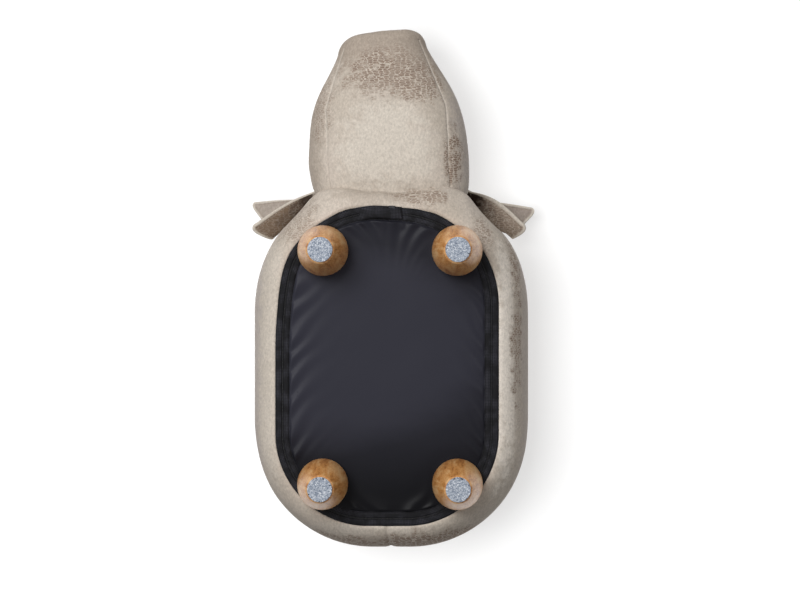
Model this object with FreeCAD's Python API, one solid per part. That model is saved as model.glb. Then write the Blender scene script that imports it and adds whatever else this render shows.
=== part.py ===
"""Pig footstool: an upholstered animal stool on four turned wooden legs.

Millimetres. +Z is up, the stool stands on z = 0, and the pig faces -Y.
"""
import FreeCAD
import Part
import math
import os

# Plan of the padded body at its widest level
body_half_width = 172.0
body_front_y = -140.0
body_rear_y = 328.0
front_flat_half = 11.0
rear_flat_half = 24.0

# Side profile of the padded body
leg_height = 87.0
felt_thickness = 3.0
belly_height = 90.0
waist_height = 35.0
crown_height = 125.0
under_inset = 35.5
crown_flat_half = 40.0
crown_fullness = 2.2
skin = 2.0

# Head, from the neck inside the body to the snout
head_root_y = -60.0
neck_y = -112.0
cheek_y = -162.0
snout_front_y = -330.0
snout_rim = 12.0
neck_half_width = 97.0
cheek_half_width = 102.0
snout_half_width = 56.0
throat_low_z = 112.0
brow_high_z = 316.0
snout_low_z = 150.0
snout_high_z = 256.0
jaw_flat_half = 34.0
brow_flat_half = 18.0
snout_flat_half = 10.0
muzzle_fullness = 1.75
muzzle_taper = 0.22
seam_bend_y = -228.0
throat_seam_neck = 76.0
throat_seam_snout = 44.0
brow_seam_neck = 62.0
brow_seam_snout = 40.0

# Nostril patches and eyes
nostril_half_width = 7.0
nostril_half_height = 12.0
nostril_gap = 34.0
nostril_thickness = 1.0
eye_y = -232.0
eye_turn = 52.0
eye_radius = 9.0
eye_dome = 4.5
eye_shank_radius = 3.0
eye_shank = 12.0
eye_forward_lean = 0.35

# Folded ears
ear_length = 80.0
ear_sweep = 33.0
ear_thickness = 3.6
ear_mouth_radius = 23.0
ear_root_radius = 5.0
ear_z = 260.0
ear_root_y = -119.0
ear_bead_radius = 4.5
ear_bead_height = 18.0
ear_gap = 0.6
ear_low_turn = 97.0
ear_high_turn = 37.0
ear_corner_turn = 34.0
ear_widest_run = 0.9
ear_corner_run = 0.72

# Curled tail
tail_radius = 4.5
tail_stem = 1.5
tail_bend_radius = 7.0
tail_curl_radius = 12.0
tail_turn = 275.0
tail_z = 280.0

# Turned legs, felt pads and hanger bolts
leg_top_radius = 29.5
leg_bulge_radius = 31.0
leg_foot_radius = 17.0
leg_bulge_drop = 11.0
leg_foot_chamfer = 1.5
leg_overhang = 3.0
front_leg_turn = 43.0
rear_leg_turn = 46.0
felt_radius = 15.0
bolt_radius = 4.0
bolt_in_leg = 36.0
bolt_above_board = 8.0
thread_clearance = 0.05
washer_radius = 7.5
washer_bore_clearance = 0.3
washer_thickness = 2.0
washer_side_clearance = 0.5

# Tee nuts
nut_flange_radius = 11.0
nut_flange = 1.5
nut_barrel_wall = 1.2
nut_barrel = 12.0
nut_room = 4.0

# Wooden frame
panel_thickness = 1.0
base_thickness = 15.0
seat_thickness = 12.0
frame_height = 130.0
wrap_thickness = 5.0
post_side = 40.0
post_x = 40.0
front_post_y = 15.0
rear_post_y = 175.0
rail_thickness = 18.0
rail_height = 70.0
rail_half_length = 62.0
rail_rise = 44.0
neck_board_thickness = 18.0
neck_board_height = 56.0
neck_board_tip = 62.0
screw_radius = 2.0
screw_head_radius = 4.0
screw_head_depth = 3.0
screw_length = 40.0

# Zip round the removable bottom panel
tape_width = 7.0
coil_width = 2.0
tape_thickness = 0.8
slider_x = 2.0
slider_width = 9.0
slider_length = 8.0
slider_thickness = 2.0
garage_wall = 1.2
garage_half_length = 12.0
bolt_hole_clearance = 1.5

# Levels that follow from the sizes above
underside_z = felt_thickness + leg_height
belly_top_z = underside_z + belly_height
crown_base_z = belly_top_z + waist_height
crown_top_z = crown_base_z + crown_height
crown_inset = body_half_width - crown_flat_half
base_low_z = underside_z + panel_thickness
base_high_z = base_low_z + base_thickness
seat_low_z = base_high_z + frame_height
seat_high_z = seat_low_z + seat_thickness
snout_seam_y = snout_front_y + snout_rim

# Insets from the widest outline
leg_inset = under_inset + leg_bulge_radius - leg_overhang
wrap_inner_inset = leg_inset - nut_flange_radius - nut_room
board_inset = wrap_inner_inset - wrap_thickness
coil_inset = under_inset + tape_width
inner_tape_inset = coil_inset + coil_width
panel_inset = inner_tape_inset + tape_width
nut_barrel_radius = bolt_radius + thread_clearance + nut_barrel_wall
tape_low_z = base_low_z - tape_thickness
rail_y = front_post_y - post_side / 2
rail_z = base_high_z + rail_rise
head_middle_z = (throat_low_z + brow_high_z) / 2
slider_y = body_front_y + coil_inset + coil_width / 2
slider_low_z = underside_z - slider_thickness

BELLY_TURNS = (90.0, 65.0, 40.0, 20.0, 0.0)
CROWN_TURNS = (0.0, 15.0, 30.0, 45.0, 60.0, 75.0, 90.0)
RIM_TURNS = (0.0, 30.0, 60.0, 90.0)
HEAD_RUNS = (0.0, 0.25, 0.45, 0.62, 0.78, 0.9, 1.0)
EAR_RUNS = (0.0, 0.2, 0.45, 0.72, 0.9, 1.0)
SIDES = {"left": -1.0, "right": 1.0}


def at(x, y, z):
    """A point in the stool's frame."""
    return FreeCAD.Vector(x, y, z)


def rounded_wire(half, low, high, low_flat, high_flat, place):
    """Closed outline with straight sides and round corners, laid out by place(across, along)."""
    most = (high - low) / 2 - 1
    low_r = min(half - low_flat, most)
    high_r = min(half - high_flat, most)
    slant = math.sqrt(0.5)

    def corner(side, r, end, way):
        across = side * (half - r + r * slant)
        return place(across, end + way * r * (1 - slant))

    points = [place(low_r - half, low), place(half - low_r, low), place(half, low + low_r),
              place(half, high - high_r), place(half - high_r, high), place(high_r - half, high),
              place(-half, high - high_r), place(-half, low + low_r)]
    bends = {1: corner(1, low_r, low, 1), 3: corner(1, high_r, high, -1),
             5: corner(-1, high_r, high, -1), 7: corner(-1, low_r, low, 1)}
    edges = []
    for index, start in enumerate(points):
        end = points[(index + 1) % len(points)]
        if index in bends:
            edges.append(Part.Arc(start, bends[index], end).toShape())
        else:
            edges.append(Part.LineSegment(start, end).toShape())
    return Part.Wire(edges)


def plan_wire(inset, z):
    """Plan outline of the body, drawn in evenly by inset."""
    return rounded_wire(body_half_width - inset, body_front_y + inset, body_rear_y - inset,
                        front_flat_half, rear_flat_half, lambda x, y: at(x, y, z))


def plan_slab(inset, low_z, high_z):
    """Upright slab with the body's plan outline."""
    return Part.Face(plan_wire(inset, low_z)).extrude(at(0, 0, high_z - low_z))


def plan_ring(outer_inset, inner_inset, low_z, high_z):
    """Upright ring between two plan outlines."""
    return plan_slab(outer_inset, low_z, high_z).cut(plan_slab(inner_inset, low_z, high_z))


def box(x0, x1, y0, y1, z0, z1):
    """Block between two corners."""
    return Part.makeBox(x1 - x0, y1 - y0, z1 - z0, at(x0, y0, z0))


def cylinder(x, y, z0, z1, r):
    """Upright round bar."""
    return Part.makeCylinder(r, z1 - z0, at(x, y, z0))


def body_form(t):
    """Padded body with a drawn-in belly and a crowned seat, t inside the outer skin."""
    wires = []
    for turn in BELLY_TURNS:
        angle = math.radians(turn)
        inset = t + (under_inset - t) * (1 - math.cos(angle))
        wires.append(plan_wire(inset, belly_top_z - (belly_height - t) * math.sin(angle)))
    power = 2 / crown_fullness
    for turn in CROWN_TURNS:
        angle = math.radians(turn)
        inset = t + (crown_inset - t) * (1 - abs(math.cos(angle)) ** power)
        wires.append(plan_wire(inset, crown_base_z + (crown_height - t) * math.sin(angle) ** power))
    return Part.makeLoft(wires, True, False)


def head_share(y):
    """1 at the cheeks, 0 at the snout: a smooth swell mixed with a straight taper."""
    run = (cheek_y - y) / (cheek_y - snout_seam_y)
    run = min(max(run, 0.0), 1.0)
    swell = 0.5 * (1 + math.cos(math.pi * run ** muzzle_fullness))
    return swell + (1 - run - swell) * muzzle_taper


def head_sizes(y):
    """Half width, lowest and highest level, and the flats of the head's section at y."""
    share = head_share(y)
    neck_run = min(max((neck_y - y) / (neck_y - cheek_y), 0.0), 1.0)
    full = neck_half_width + (cheek_half_width - neck_half_width) * math.sin(neck_run * math.pi / 2)
    half = snout_half_width + (full - snout_half_width) * share
    low = snout_low_z + (throat_low_z - snout_low_z) * share
    high = snout_high_z + (brow_high_z - snout_high_z) * share
    jaw = snout_flat_half + (jaw_flat_half - snout_flat_half) * share
    brow = snout_flat_half + (brow_flat_half - snout_flat_half) * share
    return half, low, high, jaw, brow


def head_wire(y, inset, place_y):
    """Section of the head at y, drawn in by inset and placed at place_y."""
    half, low, high, jaw, brow = head_sizes(y)
    return rounded_wire(half - inset, low + inset, high - inset, jaw, brow,
                        lambda x, z: at(x, place_y, z))


def head_form(t):
    """Head from its root in the body to the snout's seam, t inside the outer skin."""
    wires = [head_wire(head_root_y, t, head_root_y), head_wire(neck_y, t, neck_y)]
    for run in HEAD_RUNS:
        y = cheek_y + (snout_seam_y - cheek_y) * run
        wires.append(head_wire(y, t, y))
    return Part.makeLoft(wires, True, False)


def snout_form(t):
    """Rounded end of the snout in front of its seam, t inside the outer skin."""
    wires = []
    for turn in RIM_TURNS:
        angle = math.radians(turn)
        inset = t + (snout_rim - t) * (1 - math.cos(angle))
        wires.append(head_wire(snout_seam_y, inset, snout_seam_y - (snout_rim - t) * math.sin(angle)))
    return Part.makeLoft(wires, True, False)


def seam_wedge(neck_half, snout_half, z0, z1):
    """Tapered block that cuts the throat or the brow out of the head's cover."""
    corners = [at(-neck_half, head_root_y, z0), at(neck_half, head_root_y, z0), at(neck_half, seam_bend_y, z0),
               at(snout_half, snout_front_y, z0), at(-snout_half, snout_front_y, z0),
               at(-neck_half, seam_bend_y, z0)]
    return Part.Face(Part.makePolygon(corners + corners[:1])).extrude(at(0, 0, z1 - z0))


def leg_places():
    """Name and axis of each leg, set in from the plan's rounded corners."""
    front_r = body_half_width - front_flat_half
    rear_r = body_half_width - rear_flat_half
    front_turn = math.radians(front_leg_turn)
    rear_turn = math.radians(rear_leg_turn)
    front_x = front_flat_half + (front_r - leg_inset) * math.cos(front_turn)
    front_y = body_front_y + front_r - (front_r - leg_inset) * math.sin(front_turn)
    rear_x = rear_flat_half + (rear_r - leg_inset) * math.cos(rear_turn)
    rear_y = body_rear_y - rear_r + (rear_r - leg_inset) * math.sin(rear_turn)
    places = {}
    for side, sign in SIDES.items():
        places["front_" + side] = (sign * front_x, front_y)
        places["rear_" + side] = (sign * rear_x, rear_y)
    return places


def leg(x, y):
    """Turned leg with a full shoulder and a tapered foot, bored for its bolt and washer."""
    bulge_z = underside_z - leg_bulge_drop
    foot_z = felt_thickness
    profile = [
        Part.LineSegment(at(0, 0, foot_z), at(leg_foot_radius - leg_foot_chamfer, 0, foot_z)).toShape(),
        Part.LineSegment(at(leg_foot_radius - leg_foot_chamfer, 0, foot_z),
                         at(leg_foot_radius, 0, foot_z + leg_foot_chamfer)).toShape(),
        flank_arc(at(leg_foot_radius, 0, foot_z + leg_foot_chamfer), at(leg_bulge_radius, 0, bulge_z)),
        shoulder_arc(at(leg_bulge_radius, 0, bulge_z), at(leg_top_radius, 0, underside_z)),
        Part.LineSegment(at(leg_top_radius, 0, underside_z), at(0, 0, underside_z)).toShape(),
        Part.LineSegment(at(0, 0, underside_z), at(0, 0, foot_z)).toShape(),
    ]
    turned = Part.Face(Part.Wire(profile)).revolve(at(0, 0, 0), at(0, 0, 1), 360)
    turned.translate(at(x, y, 0))
    recess_z = base_low_z - washer_thickness
    turned = turned.cut(cylinder(x, y, recess_z, underside_z, washer_radius + washer_side_clearance))
    return turned.cut(cylinder(x, y, underside_z - bolt_in_leg, underside_z, bolt_radius))


def flank_arc(foot, bulge):
    """Full flank of a leg: an arc that bows outwards and stands upright at the bulge."""
    width = bulge.x - foot.x
    rise = bulge.z - foot.z
    radius = (width * width + rise * rise) / (2 * width)
    half_turn = math.asin(rise / radius) / 2
    middle = at(bulge.x - radius + radius * math.cos(half_turn), 0, bulge.z - radius * math.sin(half_turn))
    return Part.Arc(foot, middle, bulge).toShape()


def shoulder_arc(bulge, top):
    """Rounded shoulder from the bulge in to the top face."""
    width = bulge.x - top.x
    rise = top.z - bulge.z
    radius = (width * width + rise * rise) / (2 * width)
    half_turn = math.asin(rise / radius) / 2
    middle = at(bulge.x - radius + radius * math.cos(half_turn), 0, bulge.z + radius * math.sin(half_turn))
    return Part.Arc(bulge, middle, top).toShape()


def washer(x, y):
    """Lock washer between the leg and the base board."""
    low_z = base_low_z - washer_thickness
    ring = cylinder(x, y, low_z, base_low_z, washer_radius)
    return ring.cut(cylinder(x, y, low_z, base_low_z, bolt_radius + washer_bore_clearance))


def bolt(x, y):
    """Hanger bolt, fast in the leg and screwed into the tee nut."""
    return cylinder(x, y, underside_z - bolt_in_leg, base_high_z + bolt_above_board, bolt_radius)


def tee_nut(x, y):
    """Flanged nut driven into the base board from above."""
    nut = cylinder(x, y, base_high_z, base_high_z + nut_flange, nut_flange_radius)
    nut = nut.fuse(cylinder(x, y, base_high_z - nut_barrel, base_high_z, nut_barrel_radius))
    bore = cylinder(x, y, base_high_z - nut_barrel, base_high_z + nut_flange, bolt_radius + thread_clearance)
    return nut.cut(bore).removeSplitter()


def nut_hole(x, y):
    """Hole through the base board for a tee nut's barrel."""
    return cylinder(x, y, base_low_z, base_high_z, nut_barrel_radius)


def screw(x, y, head_z, way):
    """Countersunk screw with its head flush at head_z, pointing up or down."""
    head = Part.makeCone(screw_head_radius, screw_radius, screw_head_depth, at(x, y, head_z), at(0, 0, way))
    return head.fuse(Part.makeCylinder(screw_radius, screw_length, at(x, y, head_z), at(0, 0, way)))


def ear(sign):
    """Folded ear: a scoop that opens forwards, narrowing to a sewn root bead."""
    sweep = math.radians(ear_sweep)
    out = at(sign * math.cos(sweep), math.sin(sweep), 0)
    forward = at(sign * math.sin(sweep), -math.cos(sweep), 0)
    root = ear_axis_point(sign)
    wires = []
    for run in EAR_RUNS:
        swell = math.sin(min(run / ear_widest_run, 1.0) * math.pi / 2)
        radius = ear_root_radius + (ear_mouth_radius - ear_root_radius) * swell
        corner = max(0.0, (run - ear_corner_run) / (1 - ear_corner_run))
        trim = ear_corner_turn * corner ** 2
        ahead = radius - ear_root_radius * (1 - run)
        centre = root + out * (ear_length * run) + forward * ahead
        wires.append(ear_wire(centre, forward, radius, -ear_low_turn - trim, ear_high_turn + trim))
    scoop = Part.makeLoft(wires, True, False)
    bead = cylinder(root.x, root.y, ear_z - ear_bead_height / 2, ear_z + ear_bead_height / 2, ear_bead_radius)
    return scoop.fuse(bead).removeSplitter()


def ear_axis_point(sign):
    """Point on the upright axis of an ear's root, just clear of the head's side."""
    half, low, high, jaw, brow = head_sizes(ear_root_y)
    corner = min(half - brow, (high - low) / 2 - 1)
    rise = max(0.0, ear_z - ear_bead_height / 2 - (high - corner))
    side_x = half - corner + math.sqrt(corner * corner - rise * rise)
    return at(sign * (side_x + ear_bead_radius + ear_gap), ear_root_y, ear_z)


def ear_wire(centre, forward, radius, low_turn, high_turn):
    """C-shaped section of an ear, from its lower edge round the back to its upper edge."""
    up = at(0, 0, 1)

    def on_arc(r, turn):
        angle = math.radians(turn)
        return centre + forward * (r * math.cos(angle)) + up * (r * math.sin(angle))

    outer = radius + ear_thickness / 2
    inner = radius - ear_thickness / 2
    upper = high_turn - 360.0
    edges = []
    for r, start, end in ((outer, low_turn, -180.0), (outer, -180.0, upper)):
        edges.append(Part.Arc(on_arc(r, start), on_arc(r, (start + end) / 2), on_arc(r, end)).toShape())
    edges.append(Part.LineSegment(on_arc(outer, upper), on_arc(inner, upper)).toShape())
    for r, start, end in ((inner, upper, -180.0), (inner, -180.0, low_turn)):
        edges.append(Part.Arc(on_arc(r, start), on_arc(r, (start + end) / 2), on_arc(r, end)).toShape())
    edges.append(Part.LineSegment(on_arc(inner, low_turn), on_arc(outer, low_turn)).toShape())
    return Part.Wire(edges)


def eye(sign):
    """Domed button eye on a shank that goes through the cover."""
    half, low, high, jaw, brow = head_sizes(eye_y)
    corner = min(half - brow, (high - low) / 2 - 1)
    angle = math.radians(eye_turn)
    seat_x = half - corner + corner * math.cos(angle)
    seat = at(sign * seat_x, eye_y, high - corner + corner * math.sin(angle))
    out = at(sign * math.cos(angle), -eye_forward_lean, math.sin(angle))
    out.normalize()
    ball = (eye_radius * eye_radius + eye_dome * eye_dome) / (2 * eye_dome)
    dome = Part.makeSphere(ball, seat - out * (ball - eye_dome))
    dome = dome.common(Part.makeCylinder(eye_radius, ball, seat - out * skin, out))
    return dome.fuse(Part.makeCylinder(eye_shank_radius, eye_shank, seat, out * -1)).removeSplitter()


def tail(rump):
    """Curled tail sewn on high on the rump: a short stem, a bend and one open curl."""
    rise = (tail_z - crown_base_z) / crown_height
    reach = crown_inset * (1 - (1 - rise ** crown_fullness) ** (1 / crown_fullness))
    bend_y = body_rear_y - reach + tail_stem
    side = at(0, tail_bend_radius, 0)
    foot = at(-tail_bend_radius, bend_y, tail_z)
    section = Part.Face(Part.Wire(Part.makeCircle(tail_radius, foot, at(0, 1, 0))))
    stem = section.extrude(at(0, -2 * tail_stem - tail_radius, 0))
    bend = section.revolve(foot + at(tail_bend_radius, 0, 0), at(0, 0, -1), 90)
    start = at(0, bend_y, tail_z) + side
    section = Part.Face(Part.Wire(Part.makeCircle(tail_radius, start, at(1, 0, 0))))
    curl = section.revolve(start + at(0, 0, tail_curl_radius), at(0, -1, 0), tail_turn)
    angle = math.radians(tail_turn)
    tip = start + at(math.sin(angle), 0, 1 - math.cos(angle)) * tail_curl_radius
    curled = stem.fuse([bend, curl, Part.makeSphere(tail_radius, tip)])
    return curled.cut(rump).removeSplitter()


def nostril(sign):
    """Oval patch on the front of the snout."""
    middle_z = (snout_low_z + snout_high_z) / 2
    oval = Part.Ellipse(at(0, 0, 0), nostril_half_height, nostril_half_width)
    patch = Part.Face(Part.Wire(oval.toShape())).extrude(at(0, 0, nostril_thickness))
    patch.rotate(at(0, 0, 0), at(0, 0, 1), 90)
    patch.rotate(at(0, 0, 0), at(1, 0, 0), 90)
    patch.translate(at(sign * nostril_gap / 2, snout_front_y, middle_z))
    return patch


def frame_screws():
    """Screws through the two boards into the posts: the lower four, then the upper four."""
    low = []
    high = []
    for sign in SIDES.values():
        for y in (front_post_y, rear_post_y):
            low.append(screw(sign * post_x, y, base_low_z, 1))
            high.append(screw(sign * post_x, y, seat_high_z, -1))
    return low, high


def frame_posts():
    """Corner posts between the two boards, by name."""
    posts = {}
    half = post_side / 2
    for side, sign in SIDES.items():
        for end, y in (("front", front_post_y), ("rear", rear_post_y)):
            x = sign * post_x
            post = box(x - half, x + half, y - half, y + half, base_high_z, seat_low_z)
            posts[end + "_" + side + "_post"] = post
    return posts


def neck_board():
    """Upright board that carries the head, screwed to the front rail."""
    half = neck_board_thickness / 2
    low_z = rail_z + (rail_height - neck_board_height) / 2
    return box(-half, half, snout_front_y + neck_board_tip, rail_y - rail_thickness,
               low_z, low_z + neck_board_height)


def side_block(sign):
    """Block that holds everything on one side of the middle plane."""
    reach = sign * 2 * body_half_width
    return box(min(0.0, reach), max(0.0, reach), 2 * snout_front_y, 2 * body_rear_y, 0.0, 2 * crown_top_z)


def low_block():
    """Block that holds everything below the seam round the seat."""
    reach = 2 * body_half_width
    return box(-reach, reach, 2 * snout_front_y, 2 * body_rear_y, 0.0, seat_high_z)


def frame_pieces(neck):
    """Wooden frame with its screws and tee nuts."""
    places = leg_places().values()
    low_screws, high_screws = frame_screws()
    screws = low_screws + high_screws
    base = plan_slab(board_inset, base_low_z, base_high_z)
    pieces = {
        "base_board": base.cut([nut_hole(x, y) for x, y in places] + low_screws),
        "seat_board": plan_slab(board_inset, seat_low_z, seat_high_z).cut(high_screws),
        "frame_wrap": plan_ring(board_inset, wrap_inner_inset, base_high_z, seat_low_z).cut(neck),
        "front_rail": box(-rail_half_length, rail_half_length, rail_y - rail_thickness, rail_y,
                          rail_z, rail_z + rail_height),
        "neck_board": neck,
        "frame_screws": Part.makeCompound(screws),
        "tee_nuts": Part.makeCompound([tee_nut(x, y) for x, y in places]),
    }
    for name, post in frame_posts().items():
        pieces[name] = post.cut(screws)
    return pieces


def foam_pieces(body_inner, head_inner, neck, eyes):
    """Foam round the frame, under the seat and in the head."""
    drum = plan_slab(board_inset, base_low_z, seat_high_z)
    stuffing = head_inner.fuse(snout_form(skin)).removeSplitter()
    return {
        "side_foam": body_inner.common(low_block()).cut([drum, neck]),
        "seat_foam": body_inner.cut(low_block()),
        "head_foam": stuffing.cut([body_inner, neck] + list(eyes.values())),
    }


def body_cover_pieces(body_outer, body_inner, head_inner):
    """Seat panel and the two side panels, open underneath and where the head joins."""
    opening = plan_slab(under_inset, underside_z, underside_z + skin)
    cover = body_outer.cut([body_inner, opening, head_inner])
    pieces = {"seat_panel": cover.cut(low_block())}
    sides = cover.common(low_block())
    for side, sign in SIDES.items():
        pieces[side + "_side_panel"] = sides.common(side_block(sign))
    return pieces


def head_cover_pieces(body_outer, head_outer, head_inner, eyes):
    """Throat, brow and cheek panels, the snout disc, its nostrils and the eyes."""
    cover = head_outer.cut([head_inner, body_outer])
    throat_wedge = seam_wedge(throat_seam_neck, throat_seam_snout, 0.0, head_middle_z)
    brow_wedge = seam_wedge(brow_seam_neck, brow_seam_snout, head_middle_z, 2 * crown_top_z)
    cheeks = cover.cut([throat_wedge, brow_wedge])
    pieces = {
        "throat_panel": cover.common(throat_wedge),
        "brow_panel": cover.common(brow_wedge).cut(list(eyes.values())),
        "snout_disc": snout_form(0.0).cut(snout_form(skin)),
        "nostril_patches": Part.makeCompound([nostril(sign) for sign in SIDES.values()]),
    }
    for side, sign in SIDES.items():
        pieces[side + "_cheek_panel"] = cheeks.common(side_block(sign)).cut(eyes[side])
        pieces[side + "_eye"] = eyes[side]
    return pieces


def zip_garage(coil):
    """Lapped fabric pocket that hides the slider at the zip's end."""
    half_width = slider_width / 2 + garage_wall
    pocket = box(slider_x - garage_half_length, slider_x + slider_length / 2, slider_y - slider_width / 2,
                 slider_y + slider_width / 2, slider_low_z, tape_low_z)
    garage = box(slider_x - garage_half_length, slider_x + garage_half_length, slider_y - half_width,
                 slider_y + half_width, slider_low_z - garage_wall, tape_low_z)
    return garage.cut([pocket, coil])


def underside_pieces():
    """Bottom panel and the zip that runs all the way round it."""
    holes = [cylinder(x, y, underside_z, base_low_z, washer_radius + bolt_hole_clearance)
             for x, y in leg_places().values()]
    coil = plan_ring(coil_inset, inner_tape_inset, underside_z, base_low_z)
    return {
        "bottom_panel": plan_slab(panel_inset, underside_z, base_low_z).cut(holes),
        "zip_outer_tape": plan_ring(under_inset, coil_inset, tape_low_z, base_low_z),
        "zip_inner_tape": plan_ring(inner_tape_inset, panel_inset, tape_low_z, base_low_z),
        "zip_coil": coil,
        "zip_slider": box(slider_x - slider_length / 2, slider_x + slider_length / 2,
                          slider_y - slider_width / 2, slider_y + slider_width / 2, slider_low_z, underside_z),
        "zip_garage": zip_garage(coil),
    }


def leg_pieces():
    """Each turned leg with its felt pad, hanger bolt and lock washer."""
    pieces = {}
    for name, (x, y) in leg_places().items():
        pieces[name + "_leg"] = leg(x, y)
        pieces[name + "_felt_pad"] = cylinder(x, y, 0.0, felt_thickness, felt_radius)
        pieces[name + "_hanger_bolt"] = bolt(x, y)
        pieces[name + "_lock_washer"] = washer(x, y)
    return pieces


def build():
    """All pieces by name."""
    body_outer = body_form(0.0)
    body_inner = body_form(skin)
    head_outer = head_form(0.0)
    head_inner = head_form(skin)
    neck = neck_board()
    eyes = {side: eye(sign) for side, sign in SIDES.items()}
    nodes = frame_pieces(neck)
    nodes.update(foam_pieces(body_inner, head_inner, neck, eyes))
    nodes.update(body_cover_pieces(body_outer, body_inner, head_inner))
    nodes.update(head_cover_pieces(body_outer, head_outer, head_inner, eyes))
    for side, sign in SIDES.items():
        nodes[side + "_ear"] = ear(sign)
    nodes["tail"] = tail(body_outer)
    nodes.update(underside_pieces())
    nodes.update(leg_pieces())
    return nodes


def main():
    """Writes each piece to its own file."""
    os.makedirs("parts", exist_ok=True)
    for name, shape in build().items():
        shape.exportStep("parts/" + name + ".step")


main()
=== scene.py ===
"""Looks of the pig footstool: sewn covers, ears, zip, legs and a plain studio.

Metres, in the frame of the solids: +Z is up, the stool stands on z = 0 and the snout points to -Y.
"""
import logging
import math
from collections.abc import Callable, Sequence
from dataclasses import dataclass
from enum import Enum
from typing import Any

import bpy
import numpy as np
from mathutils import Matrix, Vector, noise


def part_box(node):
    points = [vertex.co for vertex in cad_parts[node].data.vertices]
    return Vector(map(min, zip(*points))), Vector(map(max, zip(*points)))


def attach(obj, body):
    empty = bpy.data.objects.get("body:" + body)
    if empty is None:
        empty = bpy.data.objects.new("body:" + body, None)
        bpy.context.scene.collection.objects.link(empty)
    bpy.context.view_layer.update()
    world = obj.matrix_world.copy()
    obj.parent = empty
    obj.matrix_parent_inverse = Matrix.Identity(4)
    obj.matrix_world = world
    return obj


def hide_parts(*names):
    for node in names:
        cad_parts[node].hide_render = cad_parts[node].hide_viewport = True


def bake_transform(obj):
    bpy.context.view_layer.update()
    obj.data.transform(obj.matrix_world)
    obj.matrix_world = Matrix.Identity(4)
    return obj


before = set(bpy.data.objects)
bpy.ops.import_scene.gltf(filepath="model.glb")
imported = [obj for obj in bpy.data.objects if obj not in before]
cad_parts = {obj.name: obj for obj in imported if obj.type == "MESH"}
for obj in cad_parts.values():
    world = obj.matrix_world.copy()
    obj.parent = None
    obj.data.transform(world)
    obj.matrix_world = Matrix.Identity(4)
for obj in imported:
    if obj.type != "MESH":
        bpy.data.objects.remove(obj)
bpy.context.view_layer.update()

LOG = logging.getLogger("pig_stool")
MM = 0.001
SIDES = {"left": -1.0, "right": 1.0}
MIRROR = np.array([-1.0, 1.0, 1.0])
LEGS = ("front_left", "rear_left", "front_right", "rear_right")
WHITE = (1.0, 1.0, 1.0, 1.0)
Colour = tuple[float, float, float, float]
Pair = tuple[float, float]
Triple = tuple[float, float, float]
Row = tuple[float, ...]
Array = np.ndarray
Piece = bpy.types.Object
Material = bpy.types.Material
Tree = bpy.types.NodeTree
Node = bpy.types.Node
Socket = bpy.types.NodeSocket


def linear(code: str) -> Colour:
    """Turns an sRGB hex colour to linear.

    Args:
        code: Six hex digits, such as "d8cfc3".

    Returns:
        Linear red, green and blue, with full opacity.
    """
    shares = [int(code[i:i + 2], 16) / 255 for i in (0, 2, 4)]
    r, g, b = [s / 12.92 if s <= 0.04045 else ((s + 0.055) / 1.055) ** 2.4 for s in shares]
    return (r, g, b, 1.0)


def feed(tree: Tree, node: Node, inputs: dict[Any, Any]) -> None:
    """Gives inputs of a node their values or links.

    Args:
        tree: Node tree that has the node.
        node: The node.
        inputs: Value, socket or node for each input, by name or index. A node stands for its first
            output that is in use.
    """
    for key, value in inputs.items():
        if isinstance(value, Node):
            value = next(socket for socket in value.outputs if socket.enabled)
        if isinstance(value, Socket):
            tree.links.new(value, node.inputs[key])
        else:
            node.inputs[key].default_value = value


def add_node(tree: Tree, kind: str, inputs: dict[Any, Any] | None = None,
             stops: Sequence[tuple[float, str]] = (), **settings: Any) -> Node:
    """Adds a node with its settings and links.

    Args:
        tree: Node tree that gets the node.
        kind: Node type without its ShaderNode prefix.
        inputs: What each input gets, as in feed.
        stops: Places and hex colours of a colour ramp.
        **settings: Properties of the node.

    Returns:
        The new node.
    """
    made = tree.nodes.new("ShaderNode" + kind)
    for key, value in settings.items():
        setattr(made, key, value)
    for index, (place, code) in enumerate(stops):
        ramp = made.color_ramp.elements
        stop = ramp[index] if index < 2 else ramp.new(place)
        stop.position = place
        stop.color = linear(code)
    feed(tree, made, inputs or {})
    return made


def new_material(name: str) -> tuple[Material, Tree, Node]:
    """Makes an empty node material.

    Args:
        name: Name of the material.

    Returns:
        The material, its node tree and its principled shader.
    """
    material = bpy.data.materials.new(name)
    material.use_nodes = True
    tree = material.node_tree
    tree.nodes.clear()
    shader = add_node(tree, "BsdfPrincipled")
    add_node(tree, "OutputMaterial", {"Surface": shader})
    return material, tree, shader


def smooth_step(value: Array, low: float, high: float) -> Array:
    """Soft step from 0 at low to 1 at high."""
    share = np.clip((value - low) / (high - low), 0.0, 1.0)
    return share * share * (3 - 2 * share)


@dataclass(frozen=True)
class Unevenness:
    """Smooth unevenness: its height, the size of one swell, and a number that shifts the pattern."""

    height: float
    size: float
    seed: float

    def at(self, points: Array) -> Array:
        """Unevenness over a set of points.

        Args:
            points: Points, with x, y and z in the last axis.

        Returns:
            One value for each point, about 0.
        """
        flat = points.reshape(-1, 3) / self.size + self.seed
        values = [noise.noise(Vector(p)) for p in flat]
        return self.height * np.array(values).reshape(points.shape[:-1])


def clustered(length: float, spacing: float, fine: Sequence[float]) -> Array:
    """Places along a run, close together near its two sewn ends.

    Args:
        length: Length of the run.
        spacing: Spacing in the middle of the run.
        fine: Places near an end, starting with 0.

    Returns:
        Rising places from 0 to length.
    """
    near = np.array(fine)
    count = max(2, round((length - 2 * near[-1]) / spacing) + 1)
    middle = np.linspace(near[-1], length - near[-1], count)
    return np.concatenate([near[:-1], middle, (length - near[:-1])[::-1]])


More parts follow.
